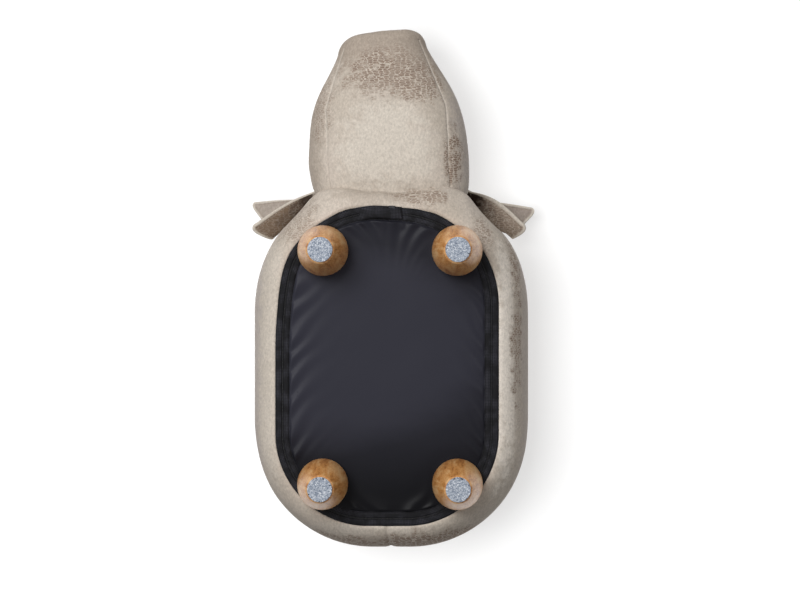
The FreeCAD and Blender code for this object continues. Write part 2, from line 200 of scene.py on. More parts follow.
def grid_faces(rows: int, cols: int, closed: bool = False) -> Array:
    """Quads of a grid of points that is numbered row by row.

    Args:
        rows: Number of rows.
        cols: Number of columns.
        closed: Whether the last column joins the first.

    Returns:
        Four indices for each quad.
    """
    r, c = np.meshgrid(np.arange(rows - 1), np.arange(cols if closed else cols - 1), indexing="ij")
    after = (c + 1) % cols
    quads = np.stack([r * cols + c, r * cols + after, (r + 1) * cols + after, (r + 1) * cols + c], -1)
    return quads.reshape(-1, 4)


def grid_normals(grid: Array, closed: bool = False) -> Array:
    """Outward unit normals of a grid of points.

    Args:
        grid: Points by row and column.
        closed: Whether the last column joins the first.

    Returns:
        One normal for each point.
    """
    along = np.gradient(grid, axis=0)
    if closed:
        across = (np.roll(grid, -1, 1) - np.roll(grid, 1, 1)) / 2
    else:
        across = np.gradient(grid, axis=1)
    normal = np.cross(across, along)
    size = np.linalg.norm(normal, axis=-1, keepdims=True)
    return normal / np.maximum(size, 1e-12)


def run_lengths(grid: Array, axis: int = 0) -> Array:
    """Distance of each point from the first row or column of its grid, or from the start of its line.

    Args:
        grid: Points of a grid or of a line.
        axis: 0 to measure from the first row or point, 1 to measure from the first column.

    Returns:
        One length for each point, measured along the grid or line.
    """
    steps = np.linalg.norm(np.diff(grid, axis=axis), axis=-1)
    start = np.zeros_like(np.take(steps, [0], axis=axis))
    return np.concatenate([start, np.cumsum(steps, axis=axis)], axis=axis)


def new_piece(name: str, points: Array, faces: Sequence[Sequence[int]]) -> Piece:
    """Makes a smooth mesh object at the origin, without points that no face uses.

    Args:
        name: Name of the piece.
        points: Points in the frame.
        faces: Point indices of each face, outwards by the right-hand rule.

    Returns:
        The object.
    """
    flat = points.reshape(-1, 3)
    used = sorted({int(i) for face in faces for i in face})
    order = {old: new for new, old in enumerate(used)}
    mesh = bpy.data.meshes.new(name)
    mesh.from_pydata(flat[used].tolist(), [], [[order[int(i)] for i in face] for face in faces])
    mesh.shade_smooth()
    piece = bpy.data.objects.new(name, mesh)
    bpy.context.scene.collection.objects.link(piece)
    return piece


def mark_painted_highlight(piece: Piece, shares: Array) -> None:
    """Keeps on each point of a piece the share of painted highlight that lightens its edge."""
    layer = piece.data.attributes.new("rubbed", "FLOAT", "POINT")
    layer.data.foreach_set("value", np.ascontiguousarray(shares, dtype=np.float32).ravel())


def points_of(piece: Piece) -> Array:
    """The points of a piece's mesh.

    Args:
        piece: The piece.

    Returns:
        x, y and z of each point.
    """
    flat = np.zeros(len(piece.data.vertices) * 3)
    piece.data.vertices.foreach_get("co", flat)
    return flat.reshape(-1, 3)


def set_points(piece: Piece, points: Array) -> None:
    """Moves the points of a piece's mesh."""
    piece.data.vertices.foreach_set("co", points.ravel())
    piece.data.update()


def select_only(piece: Piece) -> None:
    """Makes a piece the only selected and the active object.

    Args:
        piece: The piece.
    """
    bpy.ops.object.select_all(action="DESELECT")
    bpy.context.view_layer.objects.active = piece
    piece.select_set(True)


def start_piece(add: Callable[..., Any], scale: Sequence[float] = (1.0, 1.0, 1.0), **settings: Any) -> Piece:
    """Adds a primitive, alone in the selection, with its place and scale in its mesh.

    Args:
        add: Operator that adds it.
        scale: Its scale.
        **settings: Settings of the operator.

    Returns:
        The new object.
    """
    bpy.ops.object.select_all(action="DESELECT")
    add(**settings)
    piece = bpy.context.object
    piece.scale = scale
    bpy.ops.object.transform_apply(location=True, rotation=True, scale=True)
    return piece


def modify(piece: Piece, kind: str, **settings: Any) -> None:
    """Adds a modifier to a piece and applies it.

    Args:
        piece: The piece.
        kind: Type of the modifier.
        **settings: Properties of the modifier.
    """
    select_only(piece)
    modifier = piece.modifiers.new(kind.lower(), kind)
    for key, value in settings.items():
        setattr(modifier, key, value)
    bpy.ops.object.modifier_apply(modifier=modifier.name)


def edit_all(piece: Piece, tool: Callable[..., Any], **settings: Any) -> None:
    """Runs a tool on the whole mesh of a piece.

    Args:
        piece: The piece.
        tool: Operator of edit mode.
        **settings: Settings of the operator.
    """
    select_only(piece)
    bpy.ops.object.mode_set(mode="EDIT")
    bpy.ops.mesh.select_all(action="SELECT")
    tool(**settings)
    bpy.ops.object.mode_set(mode="OBJECT")


def outwards(piece: Piece) -> None:
    """Makes the faces of a closed piece point outwards."""
    edit_all(piece, bpy.ops.mesh.normals_make_consistent, inside=False)


def fill_hole(piece: Piece, ring: Sequence[int], span: int) -> None:
    """Fills a ring of points with a grid of quads.

    Args:
        piece: Piece whose mesh has the ring.
        ring: Point indices of the ring.
        span: Number of columns of the grid.
    """
    edit_all(piece, bpy.ops.mesh.select_all, action="DESELECT")
    inside = set(ring)
    for edge in piece.data.edges:
        edge.select = edge.vertices[0] in inside and edge.vertices[1] in inside
    bpy.ops.object.mode_set(mode="EDIT")
    bpy.ops.mesh.select_mode(type="EDGE")
    bpy.ops.mesh.fill_grid(span=span)
    bpy.ops.mesh.select_mode(type="VERT")
    bpy.ops.object.mode_set(mode="OBJECT")
    piece.data.shade_smooth()


def set_material(piece: Piece, material: Material) -> None:
    """Makes a material a piece's only one."""
    piece.data.materials.clear()
    piece.data.materials.append(material)


def dress(piece: Piece, material: Material, body: str | None = "stool",
          stands_for: Sequence[str] = ()) -> Piece:
    """Gives a piece its material, its body and the nodes that it stands for.

    Args:
        piece: The piece.
        material: Its finish.
        body: Body that carries it, or None to leave it on no body.
        stands_for: Nodes of the frame that it replaces.

    Returns:
        The piece.
    """
    set_material(piece, material)
    if stands_for:
        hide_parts(*stands_for)
    if body:
        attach(piece, body)
    LOG.info("%s: %d points", piece.name, len(piece.data.vertices))
    return piece


@dataclass(frozen=True)
class Relaxation:
    """How a sewn cover swells over its foam between the seams that hold it."""

    pressure: float = 4.0
    frames: int = 20
    cap: float = 1.4 * MM
    point_mass: float = 0.003
    quality: int = 4

    def run(self, piece: Piece, held: Array) -> None:
        """Simulates the cover as cloth and keeps the result, with each point's move capped.

        Args:
            piece: The cover.
            held: Share from 0 to 1 by which each point is held.
        """
        rest = points_of(piece)
        group = piece.vertex_groups.new(name="seams")
        for index in np.nonzero(held > 0)[0]:
            group.add([int(index)], float(held[index]), "REPLACE")
        cloth = piece.modifiers.new("relax", "CLOTH")
        cloth.settings.quality = self.quality
        cloth.settings.mass = self.point_mass
        cloth.settings.use_pressure = True
        cloth.settings.uniform_pressure_force = self.pressure
        cloth.settings.effector_weights.gravity = 0.0
        cloth.settings.vertex_group_mass = group.name
        cloth.point_cache.frame_start = 1
        cloth.point_cache.frame_end = self.frames
        scene = bpy.context.scene
        for step in range(1, self.frames + 1):
            scene.frame_set(step)
        swollen = piece.evaluated_get(bpy.context.evaluated_depsgraph_get())
        moved = points_of(swollen) - rest
        size = np.linalg.norm(moved, axis=1, keepdims=True)
        LOG.info("%s swells by %.2f mm at most", piece.name, size.max() / MM)
        piece.modifiers.remove(cloth)
        piece.vertex_groups.remove(group)
        set_points(piece, rest + moved * np.minimum(1.0, self.cap / np.maximum(size, 1e-9)))
        scene.frame_set(1)


@dataclass(frozen=True)
class BodyForm:
    """Padded body: plan outlines at even distances inside each other, stacked along a side profile."""

    half_width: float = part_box("right_side_panel")[1].x
    front_y: float = -140.0 * MM
    rear_y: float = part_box("right_side_panel")[1].y
    front_flat: float = 11.0 * MM
    rear_flat: float = 24.0 * MM
    underside_z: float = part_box("bottom_panel")[0].z
    belly_top_z: float = 180.0 * MM
    crown_base_z: float = 215.0 * MM
    crown_top_z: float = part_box("seat_panel")[1].z
    under_inset: float = 35.5 * MM
    crown_flat: float = 40.0 * MM
    fullness: float = 2.2
    belly_points: int = 60
    crown_points: int = 160
    hem_aside: float = 4.0 * MM
    hem_narrow: float = 3.6 * MM
    narrow_y: float = 5.0 * MM
    narrow_reach: float = 36.0 * MM
    hem_back: float = 5.0 * MM
    hem_skew: float = 0.9 * MM
    skew_reach: float = 12.0 * MM
    back_run: Pair = (-95.0 * MM, -40.0 * MM)

    def outline(self, station: Array, inset: Array) -> Array:
        """Left half of the plan outline, from the middle of the rump round to the middle of the front.

        Args:
            station: 0 to 5 along the half outline: rear flat, rear bend, side, front bend, front flat.
            inset: How far the outline is drawn in.

        Returns:
            x and y of each point.
        """
        half = self.half_width - inset
        rear_r = half - self.rear_flat
        front_r = half - self.front_flat
        rear = self.rear_y - inset
        front = self.front_y + inset
        run = station - np.floor(station)
        run = np.where(station >= 5, 1.0, run)
        turn = run * math.pi / 2
        which = [station < 1, station < 2, station < 3, station < 4, station >= 4]
        x = np.select(which, [-self.rear_flat * run, -self.rear_flat - rear_r * np.sin(turn), -half,
                              -self.front_flat - front_r * np.cos(turn), -self.front_flat * (1 - run)])
        y = np.select(which, [rear, rear - rear_r * (1 - np.cos(turn)),
                              (rear - rear_r) * (1 - run) + (front + front_r) * run,
                              front + front_r * (1 - np.sin(turn)), front])
        return np.stack([x, y], -1)

    def stations(self, spacing: float, fine: Sequence[float]) -> Array:
        """Stations of the half outline, evenly spaced on the widest outline and finer at its two seams.

        Args:
            spacing: Spacing away from the seams.
            fine: Distances from a seam at which it is finer.

        Returns:
            Rising stations from 0 to 5.
        """
        rear_r = self.half_width - self.rear_flat
        front_r = self.half_width - self.front_flat
        side = self.rear_y - self.front_y - rear_r - front_r
        runs = [self.rear_flat, rear_r * math.pi / 2, side, front_r * math.pi / 2, self.front_flat]
        ends = np.concatenate([[0.0], np.cumsum(runs)])
        return np.interp(clustered(ends[-1], spacing, fine), ends, np.arange(6.0))

    def profile(self) -> Array:
        """Side profile, from the hem underneath to the flat of the crown.

        Returns:
            Inset and level of each point.
        """
        turn = np.linspace(math.pi / 2, 0.0, self.belly_points)
        belly = np.stack([self.under_inset * (1 - np.cos(turn)),
                          self.belly_top_z - (self.belly_top_z - self.underside_z) * np.sin(turn)], -1)
        turn = np.linspace(0.0, math.pi / 2, self.crown_points)
        power = 2 / self.fullness
        inset = self.half_width - self.crown_flat
        rise = self.crown_top_z - self.crown_base_z
        crown = np.stack([inset * (1 - np.abs(np.cos(turn)) ** power),
                          self.crown_base_z + rise * np.sin(turn) ** power], -1)
        return np.concatenate([belly, crown])

    def plan_inset(self, points: Array) -> Array:
        """How far points lie inside the widest outline, seen from above.

        Args:
            points: The points.

        Returns:
            One distance for each point, negative outside.
        """
        x, y = np.abs(points[..., 0]), points[..., 1]
        rear_r = self.half_width - self.rear_flat
        front_r = self.half_width - self.front_flat
        ahead = np.minimum(y - self.front_y - front_r, 0.0)
        behind = np.maximum(y - self.rear_y + rear_r, 0.0)
        front_gap = front_r - np.hypot(np.maximum(x - self.front_flat, 0.0), ahead)
        rear_gap = rear_r - np.hypot(np.maximum(x - self.rear_flat, 0.0), behind)
        return np.where(ahead < 0, front_gap, np.where(behind > 0, rear_gap, self.half_width - x))

    def sewn_shift(self, plan: Array) -> Array:
        """How far the hem and the zip lie from their even outline in plan, as they are sewn.

        Args:
            plan: x and y of points on the even outline.

        Returns:
            x and y of each point's move.
        """
        x, y = plan[..., 0], plan[..., 1]
        waist = np.exp(-((y - self.narrow_y) / self.narrow_reach) ** 2)
        narrow = np.where(x < 0, self.hem_narrow, 0.0) * waist
        skewed = self.hem_back + self.hem_skew * np.tanh(x / self.skew_reach)
        back = skewed * (1 - smooth_step(y, *self.back_run))
        return np.stack([narrow - self.hem_aside, back], -1)

    def depth(self, points: Array) -> Array:
        """How far points lie inside the cover, measured level; negative outside."""
        wall = self.profile()
        return self.plan_inset(points) - np.interp(points[..., 2], wall[:, 1], wall[:, 0])


class HeadPanel(Enum):
    """Sewn panels round the head, in the order in which they go round it."""

    THROAT = "throat_panel"
    RIGHT_CHEEK = "right_cheek_panel"
    BROW = "brow_panel"
    LEFT_CHEEK = "left_cheek_panel"


@dataclass(frozen=True)
class HeadForm:
    """Head: rounded sections that swell from the neck to the cheeks and draw in to the snout."""

    root_y: float = -60.0 * MM
    neck_y: float = -112.0 * MM
    cheek_y: float = -162.0 * MM
    seam_y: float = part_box("snout_disc")[1].y
    front_y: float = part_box("snout_disc")[0].y
    neck_half: float = 97.0 * MM
    cheek_half: float = 102.0 * MM
    snout_half: float = 56.0 * MM
    throat_z: float = 112.0 * MM
    brow_z: float = 316.0 * MM
    snout_low_z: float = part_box("snout_disc")[0].z
    snout_high_z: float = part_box("snout_disc")[1].z
    jaw_flat: float = 34.0 * MM
    brow_flat: float = 18.0 * MM
    snout_flat: float = 10.0 * MM
    fullness: float = 1.75
    taper: float = 0.22
    seam_bend_y: float = -228.0 * MM
    throat_seam: Pair = (76.0 * MM, 44.0 * MM)
    brow_seam: Pair = (62.0 * MM, 40.0 * MM)
    snout_lean: float = -9.0 * MM
    neck_lean: float = -3.5 * MM
    snout_slant: float = 12.0 * MM
    corner_drop: float = 7.0 * MM
    corner_start: float = 0.5
    tip_reach: float = 25.0 * MM
    bend_points: int = 60

    def sizes(self, y: float) -> tuple[float, float, float, float, float]:
        """Sizes of the section at y.

        Args:
            y: Place of the section.

        Returns:
            Half width, lowest and highest level, and radii of the lower and upper corners.
        """
        run = min(max((self.cheek_y - y) / (self.cheek_y - self.seam_y), 0.0), 1.0)
        swell = 0.5 * (1 + math.cos(math.pi * run ** self.fullness))
        share = swell + (1 - run - swell) * self.taper
        neck_run = min(max((self.neck_y - y) / (self.neck_y - self.cheek_y), 0.0), 1.0)
        full = self.neck_half + (self.cheek_half - self.neck_half) * math.sin(neck_run * math.pi / 2)
        half = self.snout_half + (full - self.snout_half) * share
        low = self.snout_low_z + (self.throat_z - self.snout_low_z) * share
        high = self.snout_high_z + (self.brow_z - self.snout_high_z) * share
        jaw = self.snout_flat + (self.jaw_flat - self.snout_flat) * share
        brow = self.snout_flat + (self.brow_flat - self.snout_flat) * share
        most = (high - low) / 2 - MM
        return half, low, high, min(half - jaw, most), min(half - brow, most)

    def half_section(self, y: float, inset: float = 0.0) -> Array:
        """Right half of the section at y, from the throat's middle to the brow's middle.

        Args:
            y: Place of the section.
            inset: How far the section is drawn in.

        Returns:
            x and z of each point.
        """
        half, low, high, low_r, high_r = self.sizes(y)
        half, low, high = half - inset, low + inset, high - inset
        low_r, high_r = low_r - inset, high_r - inset
        turn = np.linspace(0.0, math.pi / 2, self.bend_points)
        jaw = np.stack([half - low_r + low_r * np.sin(turn), low + low_r * (1 - np.cos(turn))], -1)
        brow = np.stack([half - high_r + high_r * np.cos(turn), high - high_r * (1 - np.sin(turn))], -1)
        return np.concatenate([[[0.0, low]], jaw, brow, [[0.0, high]]])

    def seam_half(self, y: float, seam: Pair) -> float:
        """Distance of a lengthwise seam from the middle plane at y."""
        return float(np.interp(y, [self.front_y, self.seam_bend_y], [seam[1], seam[0]]))

    def panel_columns(self, panel: HeadPanel, shares: Array, y: float) -> Array:
        """Points of one panel across the section at y.

        Args:
            panel: Which panel.
            shares: Shares of the way across it, from 0 to 1.
            y: Place of the section.

        Returns:
            x and z of each point.
        """
        line = self.half_section(y)
        run = run_lengths(line)
        widest = int(np.argmax(line[:, 0]))
        throat = np.interp(self.seam_half(y, self.throat_seam), line[:widest, 0], run[:widest])
        brow = np.interp(-self.seam_half(y, self.brow_seam), -line[widest:, 0], run[widest:])
        spans = {HeadPanel.THROAT: (-throat, throat), HeadPanel.RIGHT_CHEEK: (throat, brow),
                 HeadPanel.BROW: (brow, 2 * run[-1] - brow), HeadPanel.LEFT_CHEEK: (-brow, -throat)}
        start, end = spans[panel]
        place = start + (end - start) * shares
        turned = np.where(place > run[-1], 2 * run[-1] - place, np.abs(place))
        side = np.where((place < 0) | (place > run[-1]), -1.0, 1.0)
        return np.stack([side * np.interp(turned, run, line[:, 0]), np.interp(turned, run, line[:, 1])], -1)

    def gap(self, points: Array) -> Array:
        """Distance of points from the head's section at their own y.

        Args:
            points: The points.

        Returns:
            One distance for each point, negative inside.
        """
        flat = points.reshape(-1, 3)
        gaps = np.zeros(len(flat))
        for index, (x, y, z) in enumerate(flat):
            half, low, high, low_r, high_r = self.sizes(y)
            lower = z < (low + high) / 2
            r = low_r if lower else high_r
            dx = abs(x) - half + r
            dz = (low + r - z) if lower else (z - high + r)
            gaps[index] = math.hypot(max(dx, 0.0), max(dz, 0.0)) + min(max(dx, dz), 0.0) - r
        return gaps.reshape(points.shape[:-1])

    def settle(self, points: Array) -> Array:
        """Leans the snout aside and slants its front, as the soft head lies in use.

        Args:
            points: Points of the even head.

        Returns:
            The moved points.
        """
        ahead = -points[..., 1]
        share = smooth_step(ahead, -self.cheek_y, -self.front_y)
        tip = smooth_step(ahead, -self.seam_y - self.tip_reach, -self.front_y)
        neck = smooth_step(ahead, -self.neck_y, -self.cheek_y)
        corner = np.abs(points[..., 0]) / self.snout_half - self.corner_start
        corner = np.maximum(corner, 0.0) / (1 - self.corner_start)
        moved = points.copy()
        moved[..., 0] += self.snout_lean * share + self.neck_lean * neck
        moved[..., 1] += self.snout_slant * share * (1 - points[..., 0] / self.snout_half) / 2
        moved[..., 1] += self.corner_drop * tip * corner ** 2
        return moved


@dataclass(frozen=True)
class Seam:
    """A sewn edge: how deep it pulls the cover in, how wide, and how much it puckers."""

    depth: float = 1.8 * MM
    width: float = 2.6 * MM
    pucker: float = 0.35 * MM
    pucker_size: float = 13.0 * MM
    reach: float = 14.0 * MM
    seed: float = 3.7

    def pull(self, grid: Array, normals: Array, away: Array) -> Array:
        """Draws a grid in along the seam.

        Args:
            grid: Points of the cover.
            normals: Their outward normals.
            away: Distance of each point from the seam.

        Returns:
            The moved points.
        """
        groove = self.depth * np.exp(-(away / self.width) ** 2)
        puckers = Unevenness(self.pucker, self.pucker_size, self.seed)
        waves = puckers.at(grid) * np.exp(-away / self.reach)
        return grid + normals * (waves - groove)[..., None]


@dataclass(frozen=True)
class Cover:
    """Sewn cover of the body: two side panels that meet at the rump and a seat panel above them."""

    form: BodyForm
    head: HeadForm
    spacing: float = 5.0 * MM
    crown_spacing: float = 7.0 * MM
    fine: Row = (0.0, 0.8 * MM, 1.8 * MM, 3.0 * MM, 5.0 * MM, 8.0 * MM)
    thickness: float = 1.6 * MM
    hidden: float = 7.0 * MM
    seam: Seam = Seam()
    hem: Seam = Seam(depth=2.0 * MM, width=2.2 * MM, pucker=0.5 * MM, pucker_size=17.0 * MM)
    front_seam: Seam = Seam(depth=0.5 * MM, width=1.8 * MM, pucker=0.3 * MM)
    neck: Seam = Seam(depth=4.2 * MM, width=7.0 * MM, pucker=1.3 * MM, pucker_size=22.0 * MM,
                      reach=22.0 * MM)
    hem_fade: float = 50.0 * MM
    hug: Pair = (12.0 * MM, 14.0 * MM)
    hug_rest: float = 0.2
    hug_reach: float = 22.0 * MM
    hug_levels: Pair = (150.0 * MM, 200.0 * MM)
    hug_aside: Pair = (20.0 * MM, 70.0 * MM)
    dent: Pair = (8.0 * MM, 11.5 * MM)
    dent_place: Pair = (117.0 * MM, -94.0 * MM)
    dent_way: Pair = (0.72, -0.69)
    dent_reach: float = 32.0 * MM
    dent_from: Pair = (115.0 * MM, 165.0 * MM)
    dent_to: Pair = (235.0 * MM, 280.0 * MM)
    relaxation: Relaxation = Relaxation()

    def seam_level(self) -> float:
        """Level of the seam between the side panels and the seat panel."""
        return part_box("seat_panel")[0].z

    def rows(self, start: float, end: float, fine_ends: bool) -> Array:
        """Grid rows along the profile between two levels.

        Args:
            start: Level of the first row.
            end: Level of the last row.
            fine_ends: Whether the rows are finer at the end too, as at a seam.

        Returns:
            Inset and level of each row.
        """
        wall = self.form.profile()
        run = run_lengths(wall)
        first = np.interp(start, wall[:, 1], run)
        last = np.interp(end, wall[:, 1], run)
        if fine_ends:
            places = first + clustered(last - first, self.spacing, self.fine)
        else:
            places = first + clustered(last - first, self.crown_spacing, self.fine)[:-len(self.fine) + 1]
        return np.stack([np.interp(places, run, wall[:, 0]), np.interp(places, run, wall[:, 1])], -1)

    def ring(self, rows: Array) -> Array:
        """Grid of the left half of the cover.

        Args:
            rows: Inset and level of each row.

        Returns:
            Points by row, from the rump to the front.
        """
        stations = self.form.stations(self.spacing, self.fine)
        plan = self.form.outline(stations[None, :], rows[:, :1])
        level = np.broadcast_to(rows[:, 1:], plan.shape[:2])
        return np.concatenate([plan, level[..., None]], -1)

    def shift_hem(self, grid: Array) -> Array:
        """Moves the hem off its even outline, as the cover is sewn.

        Args:
            grid: Points of the even cover.

        Returns:
            The moved points.
        """
        moved = grid.copy()
        low = self.form.underside_z
        fade = 1 - smooth_step(grid[..., 2], low, low + self.hem_fade)
        moved[..., :2] += self.form.sewn_shift(grid[..., :2]) * fade[..., None]
        return moved

    def tuck(self, grid: Array, normals: Array) -> tuple[Array, Array]:
        """Draws the cover in where the head joins it, and forwards beside it under the jaw.

        Args:
            grid: Points of the cover.
            normals: Their outward normals.

        Returns:
            The moved points, and each point's distance from the head.
        """
        front = grid[..., 1] < self.head.root_y
        gap = np.full(grid.shape[:-1], 1.0)
        gap[front] = self.head.gap(grid[front])
        moved = self.neck.pull(grid, normals, np.maximum(gap, 0.0))
        close = np.exp(-(np.maximum(gap, 0.0) / self.hug_reach) ** 2)
        low = 1 - smooth_step(grid[..., 2], *self.hug_levels)
        hug = np.where(grid[..., 0] < 0, *self.hug)
        aside = smooth_step(np.abs(grid[..., 0]), *self.hug_aside) - self.hug_rest
        moved[..., 1] -= hug * close * low * aside
        return moved - self.dents(grid), gap

    def dents(self, grid: Array) -> Array:
        """How far the shoulders are drawn in below the ears.

        Args:
            grid: Points of the cover.

        Returns:
            x, y and z of each point's move inwards, turned round.
        """
        side = np.sign(grid[..., 0])
        beside = np.hypot(np.abs(grid[..., 0]) - self.dent_place[0], grid[..., 1] - self.dent_place[1])
        level = grid[..., 2]
        low = smooth_step(level, *self.dent_from) * (1 - smooth_step(level, *self.dent_to))
        deep = np.where(side < 0, *self.dent) * np.exp(-(beside / self.dent_reach) ** 2) * low
        way = [self.dent_way[0] * side, np.full_like(side, self.dent_way[1]), np.zeros_like(side)]
        return deep[..., None] * np.stack(way, -1)

    def shell(self, name: str, grid: Array, gap: Array, closed: bool) -> Piece:
        """Makes a panel's mesh, without what lies inside the head.

        Args:
            name: Name of the piece.
            grid: Points of the panel.
            gap: Distance of each point from the head.
            closed: Whether the last column joins the first.

        Returns:
            The panel.
        """
        faces = grid_faces(*grid.shape[:2], closed)
        kept = np.any(gap.reshape(-1)[faces] > -self.hidden, axis=1)
        return new_piece(name, grid, faces[kept])

    def side_panel(self, side: str, material: Material) -> None:
        """Builds one side panel.

        Args:
            side: "left" or "right".
            material: Its leather.
        """
        rows = self.rows(self.form.underside_z, self.seam_level(), True)
        grid = self.ring(rows)
        if side == "right":
            grid = grid[:, ::-1] * MIRROR
        grid = self.shift_hem(grid)
        normals = grid_normals(grid)
        up = run_lengths(grid, 0)
        along = run_lengths(grid, 1)
        grid, gap = self.tuck(grid, normals)
        grid = self.hem.pull(grid, normals, up)
        rump, front = (along, along[:, -1:] - along) if side == "left" else (along[:, -1:] - along, along)
        for away in (up[-1:] - up, rump):
            grid = self.seam.pull(grid, normals, away)
        grid = self.front_seam.pull(grid, normals, front)
        piece = self.shell(side + "_side_cover", grid, gap, False)
        self.finish(piece, material, side + "_side_panel", "side_foam")

    def seat_panel(self, material: Material) -> None:
        """Builds the crowned seat panel.

        Args:
            material: Its leather.
        """
        rows = self.rows(self.seam_level(), self.form.crown_top_z, False)
        half = self.ring(rows)
        grid = np.concatenate([half, half[:, -2:0:-1] * MIRROR], 1)
        normals = grid_normals(grid, True)
        grid, gap = self.tuck(grid, normals)
        grid = self.seam.pull(grid, normals, run_lengths(grid, 0))
        piece = self.shell("seat_cover", grid, gap, True)
        count = len(piece.data.vertices)
        fill_hole(piece, range(count - grid.shape[1], count), half.shape[1] // 3)
        self.finish(piece, material, "seat_panel", "seat_foam")

    @staticmethod
    def held(piece: Piece) -> Array:
        """Marks the points on the open edges of a panel, which its seams hold.

        Args:
            piece: The panel.

        Returns:
            1 for each held point and 0 for the others.
        """
        counts = np.zeros(len(piece.data.edges), int)
        for polygon in piece.data.polygons:
            for loop in polygon.loop_indices:
                counts[piece.data.loops[loop].edge_index] += 1
        held = np.zeros(len(piece.data.vertices))
        for edge in piece.data.edges:
            if counts[edge.index] == 1:
                held[list(edge.vertices)] = 1.0
        return held

    def finish(self, piece: Piece, material: Material, *stands_for: str) -> None:
        """Lets a panel swell over its foam, rounds it off, gives it a thickness inwards and dresses it.

        Args:
            piece: The panel's outer face.
            material: Its leather.
            *stands_for: Nodes that it replaces.
        """
        self.relaxation.run(piece, self.held(piece))
        modify(piece, "SUBSURF", levels=1, render_levels=1)
        modify(piece, "SOLIDIFY", thickness=self.thickness, offset=-1.0)
        dress(piece, material, stands_for=stands_for)

    def build(self, material: Material) -> None:
        """Builds all panels of the body.

        Args:
            material: Their leather.
        """
        for side in SIDES:
            self.side_panel(side, material)
        self.seat_panel(material)


@dataclass(frozen=True)
class HeadCover:
    """Sewn cover of the head: throat, two cheeks, brow and the snout's rounded disc."""

    form: HeadForm
    body: BodyForm
    cover: Cover
    snout_rim: float = 12.0 * MM
    neck_overlap: float = 10.0 * MM
    neck: Seam = Seam(depth=4.5 * MM, width=14.0 * MM, pucker=1.0 * MM, pucker_size=19.0 * MM,
                      reach=20.0 * MM)
    seam: Seam = Seam(depth=1.0 * MM, width=1.7 * MM, pucker=0.25 * MM, pucker_size=9.0 * MM,
                      reach=9.0 * MM)
    snout_seam: Seam = Seam(depth=0.12 * MM, width=1.2 * MM, pucker=0.0)
    snout_slope: float = 0.3
    rim_turns: Row = (0.0, 3.0, 8.0, 16.0, 26.0, 38.0, 50.0, 62.0, 74.0, 84.0, 90.0)
    spacing: float = 4.5 * MM
    rim_spacing: float = 3.5 * MM
    sections: int = 140
    measures: int = 100
    # Width, strength and run of the painted highlight along the seams' ridges.
    ridge: float = 1.3 * MM
    edge_highlight: float = 0.9
    highlight_run: Pair = (45.0 * MM, 75.0 * MM)

    def panel(self, which: HeadPanel, material: Material) -> None:
        """Builds one panel from the neck to the snout's seam.

        Args:
            which: The panel.
            material: Its leather.
        """
        levels = np.linspace(self.form.seam_y, self.form.root_y, self.sections)
        middle = self.form.panel_columns(which, np.linspace(0, 1, self.measures), self.form.cheek_y)
        width = float(run_lengths(middle)[-1])
        shares = clustered(width, self.spacing, self.cover.fine) / width
        table = np.stack([self.form.panel_columns(which, shares, y) for y in levels])
        every = np.insert(table, 1, levels[:, None], axis=-1)
        depth = self.body.depth(every)
        starts = np.array([np.interp(0.0, depth[:, c], levels) for c in range(len(shares))])
        starts += self.neck_overlap
        length = float(starts.mean() - self.form.seam_y)
        runs = clustered(length, self.spacing, self.cover.fine) / length
        y = starts[None, :] + (self.form.seam_y - starts)[None, :] * runs[:, None]
        grid = np.zeros(y.shape + (3,))
        grid[..., 1] = y
        for c in range(len(shares)):
            grid[:, c, 0] = np.interp(y[:, c], levels, table[:, c, 0])
            grid[:, c, 2] = np.interp(y[:, c], levels, table[:, c, 1])
        normals = grid_normals(grid)
        ahead = run_lengths(grid, 0)
        across = run_lengths(grid, 1)
        grid = self.neck.pull(grid, normals, ahead)
        grid = self.snout_seam.pull(grid, normals, ahead[-1:] - ahead)
        for away in (across, across[:, -1:] - across):
            grid = self.seam.pull(grid, normals, away)
        piece = new_piece(which.value.replace("panel", "cover"), self.form.settle(grid),
                          grid_faces(*grid.shape[:2]))
        # Painted highlight along each lengthwise seam's ridge, none near the neck.
        from_seam = np.minimum(across, across[:, -1:] - across)
        rubbed = self.edge_highlight * np.exp(-(from_seam / self.ridge) ** 2) * smooth_step(ahead, *self.highlight_run)
        mark_painted_highlight(piece, rubbed)
        self.cover.finish(piece, material, which.value, "head_foam")

    def snout(self, material: Material) -> None:
        """Builds the snout's disc with its rounded rim.

        Args:
            material: Its leather.
        """
        run = run_lengths(self.form.half_section(self.form.seam_y))
        count = 2 * round(run[-1] / self.rim_spacing / 2)
        places = np.linspace(0, run[-1], count + 1)
        rings = []
        for turn in np.radians(self.rim_turns):
            slope = self.snout_slope * math.sin(turn) * (1 - turn * 2 / math.pi)
            drawn = self.form.half_section(self.form.seam_y, self.snout_rim * (1 - math.cos(turn) + slope))
            x = np.interp(places, run, drawn[:, 0])
            z = np.interp(places, run, drawn[:, 1])
            y = np.full_like(x, self.form.seam_y - self.snout_rim * math.sin(turn))
            half = np.stack([x, y, z], -1)
            rings.append(np.concatenate([half, half[-2:0:-1] * MIRROR]))
        grid = np.stack(rings)
        grid = self.snout_seam.pull(grid, grid_normals(grid, True), run_lengths(grid, 0))
        piece = new_piece("snout_cover", grid, grid_faces(*grid.shape[:2], True))
        last = grid.shape[0] * grid.shape[1]
        fill_hole(piece, range(last - grid.shape[1], last), count // 2)
        set_points(piece, self.form.settle(points_of(piece)))
        self.cover.finish(piece, material, "snout_disc")

    def build(self, material: Material) -> None:
        """Builds all panels of the head.

        Args:
            material: Their leather.
        """
        for which in HeadPanel:
            self.panel(which, material)
        self.snout(material)


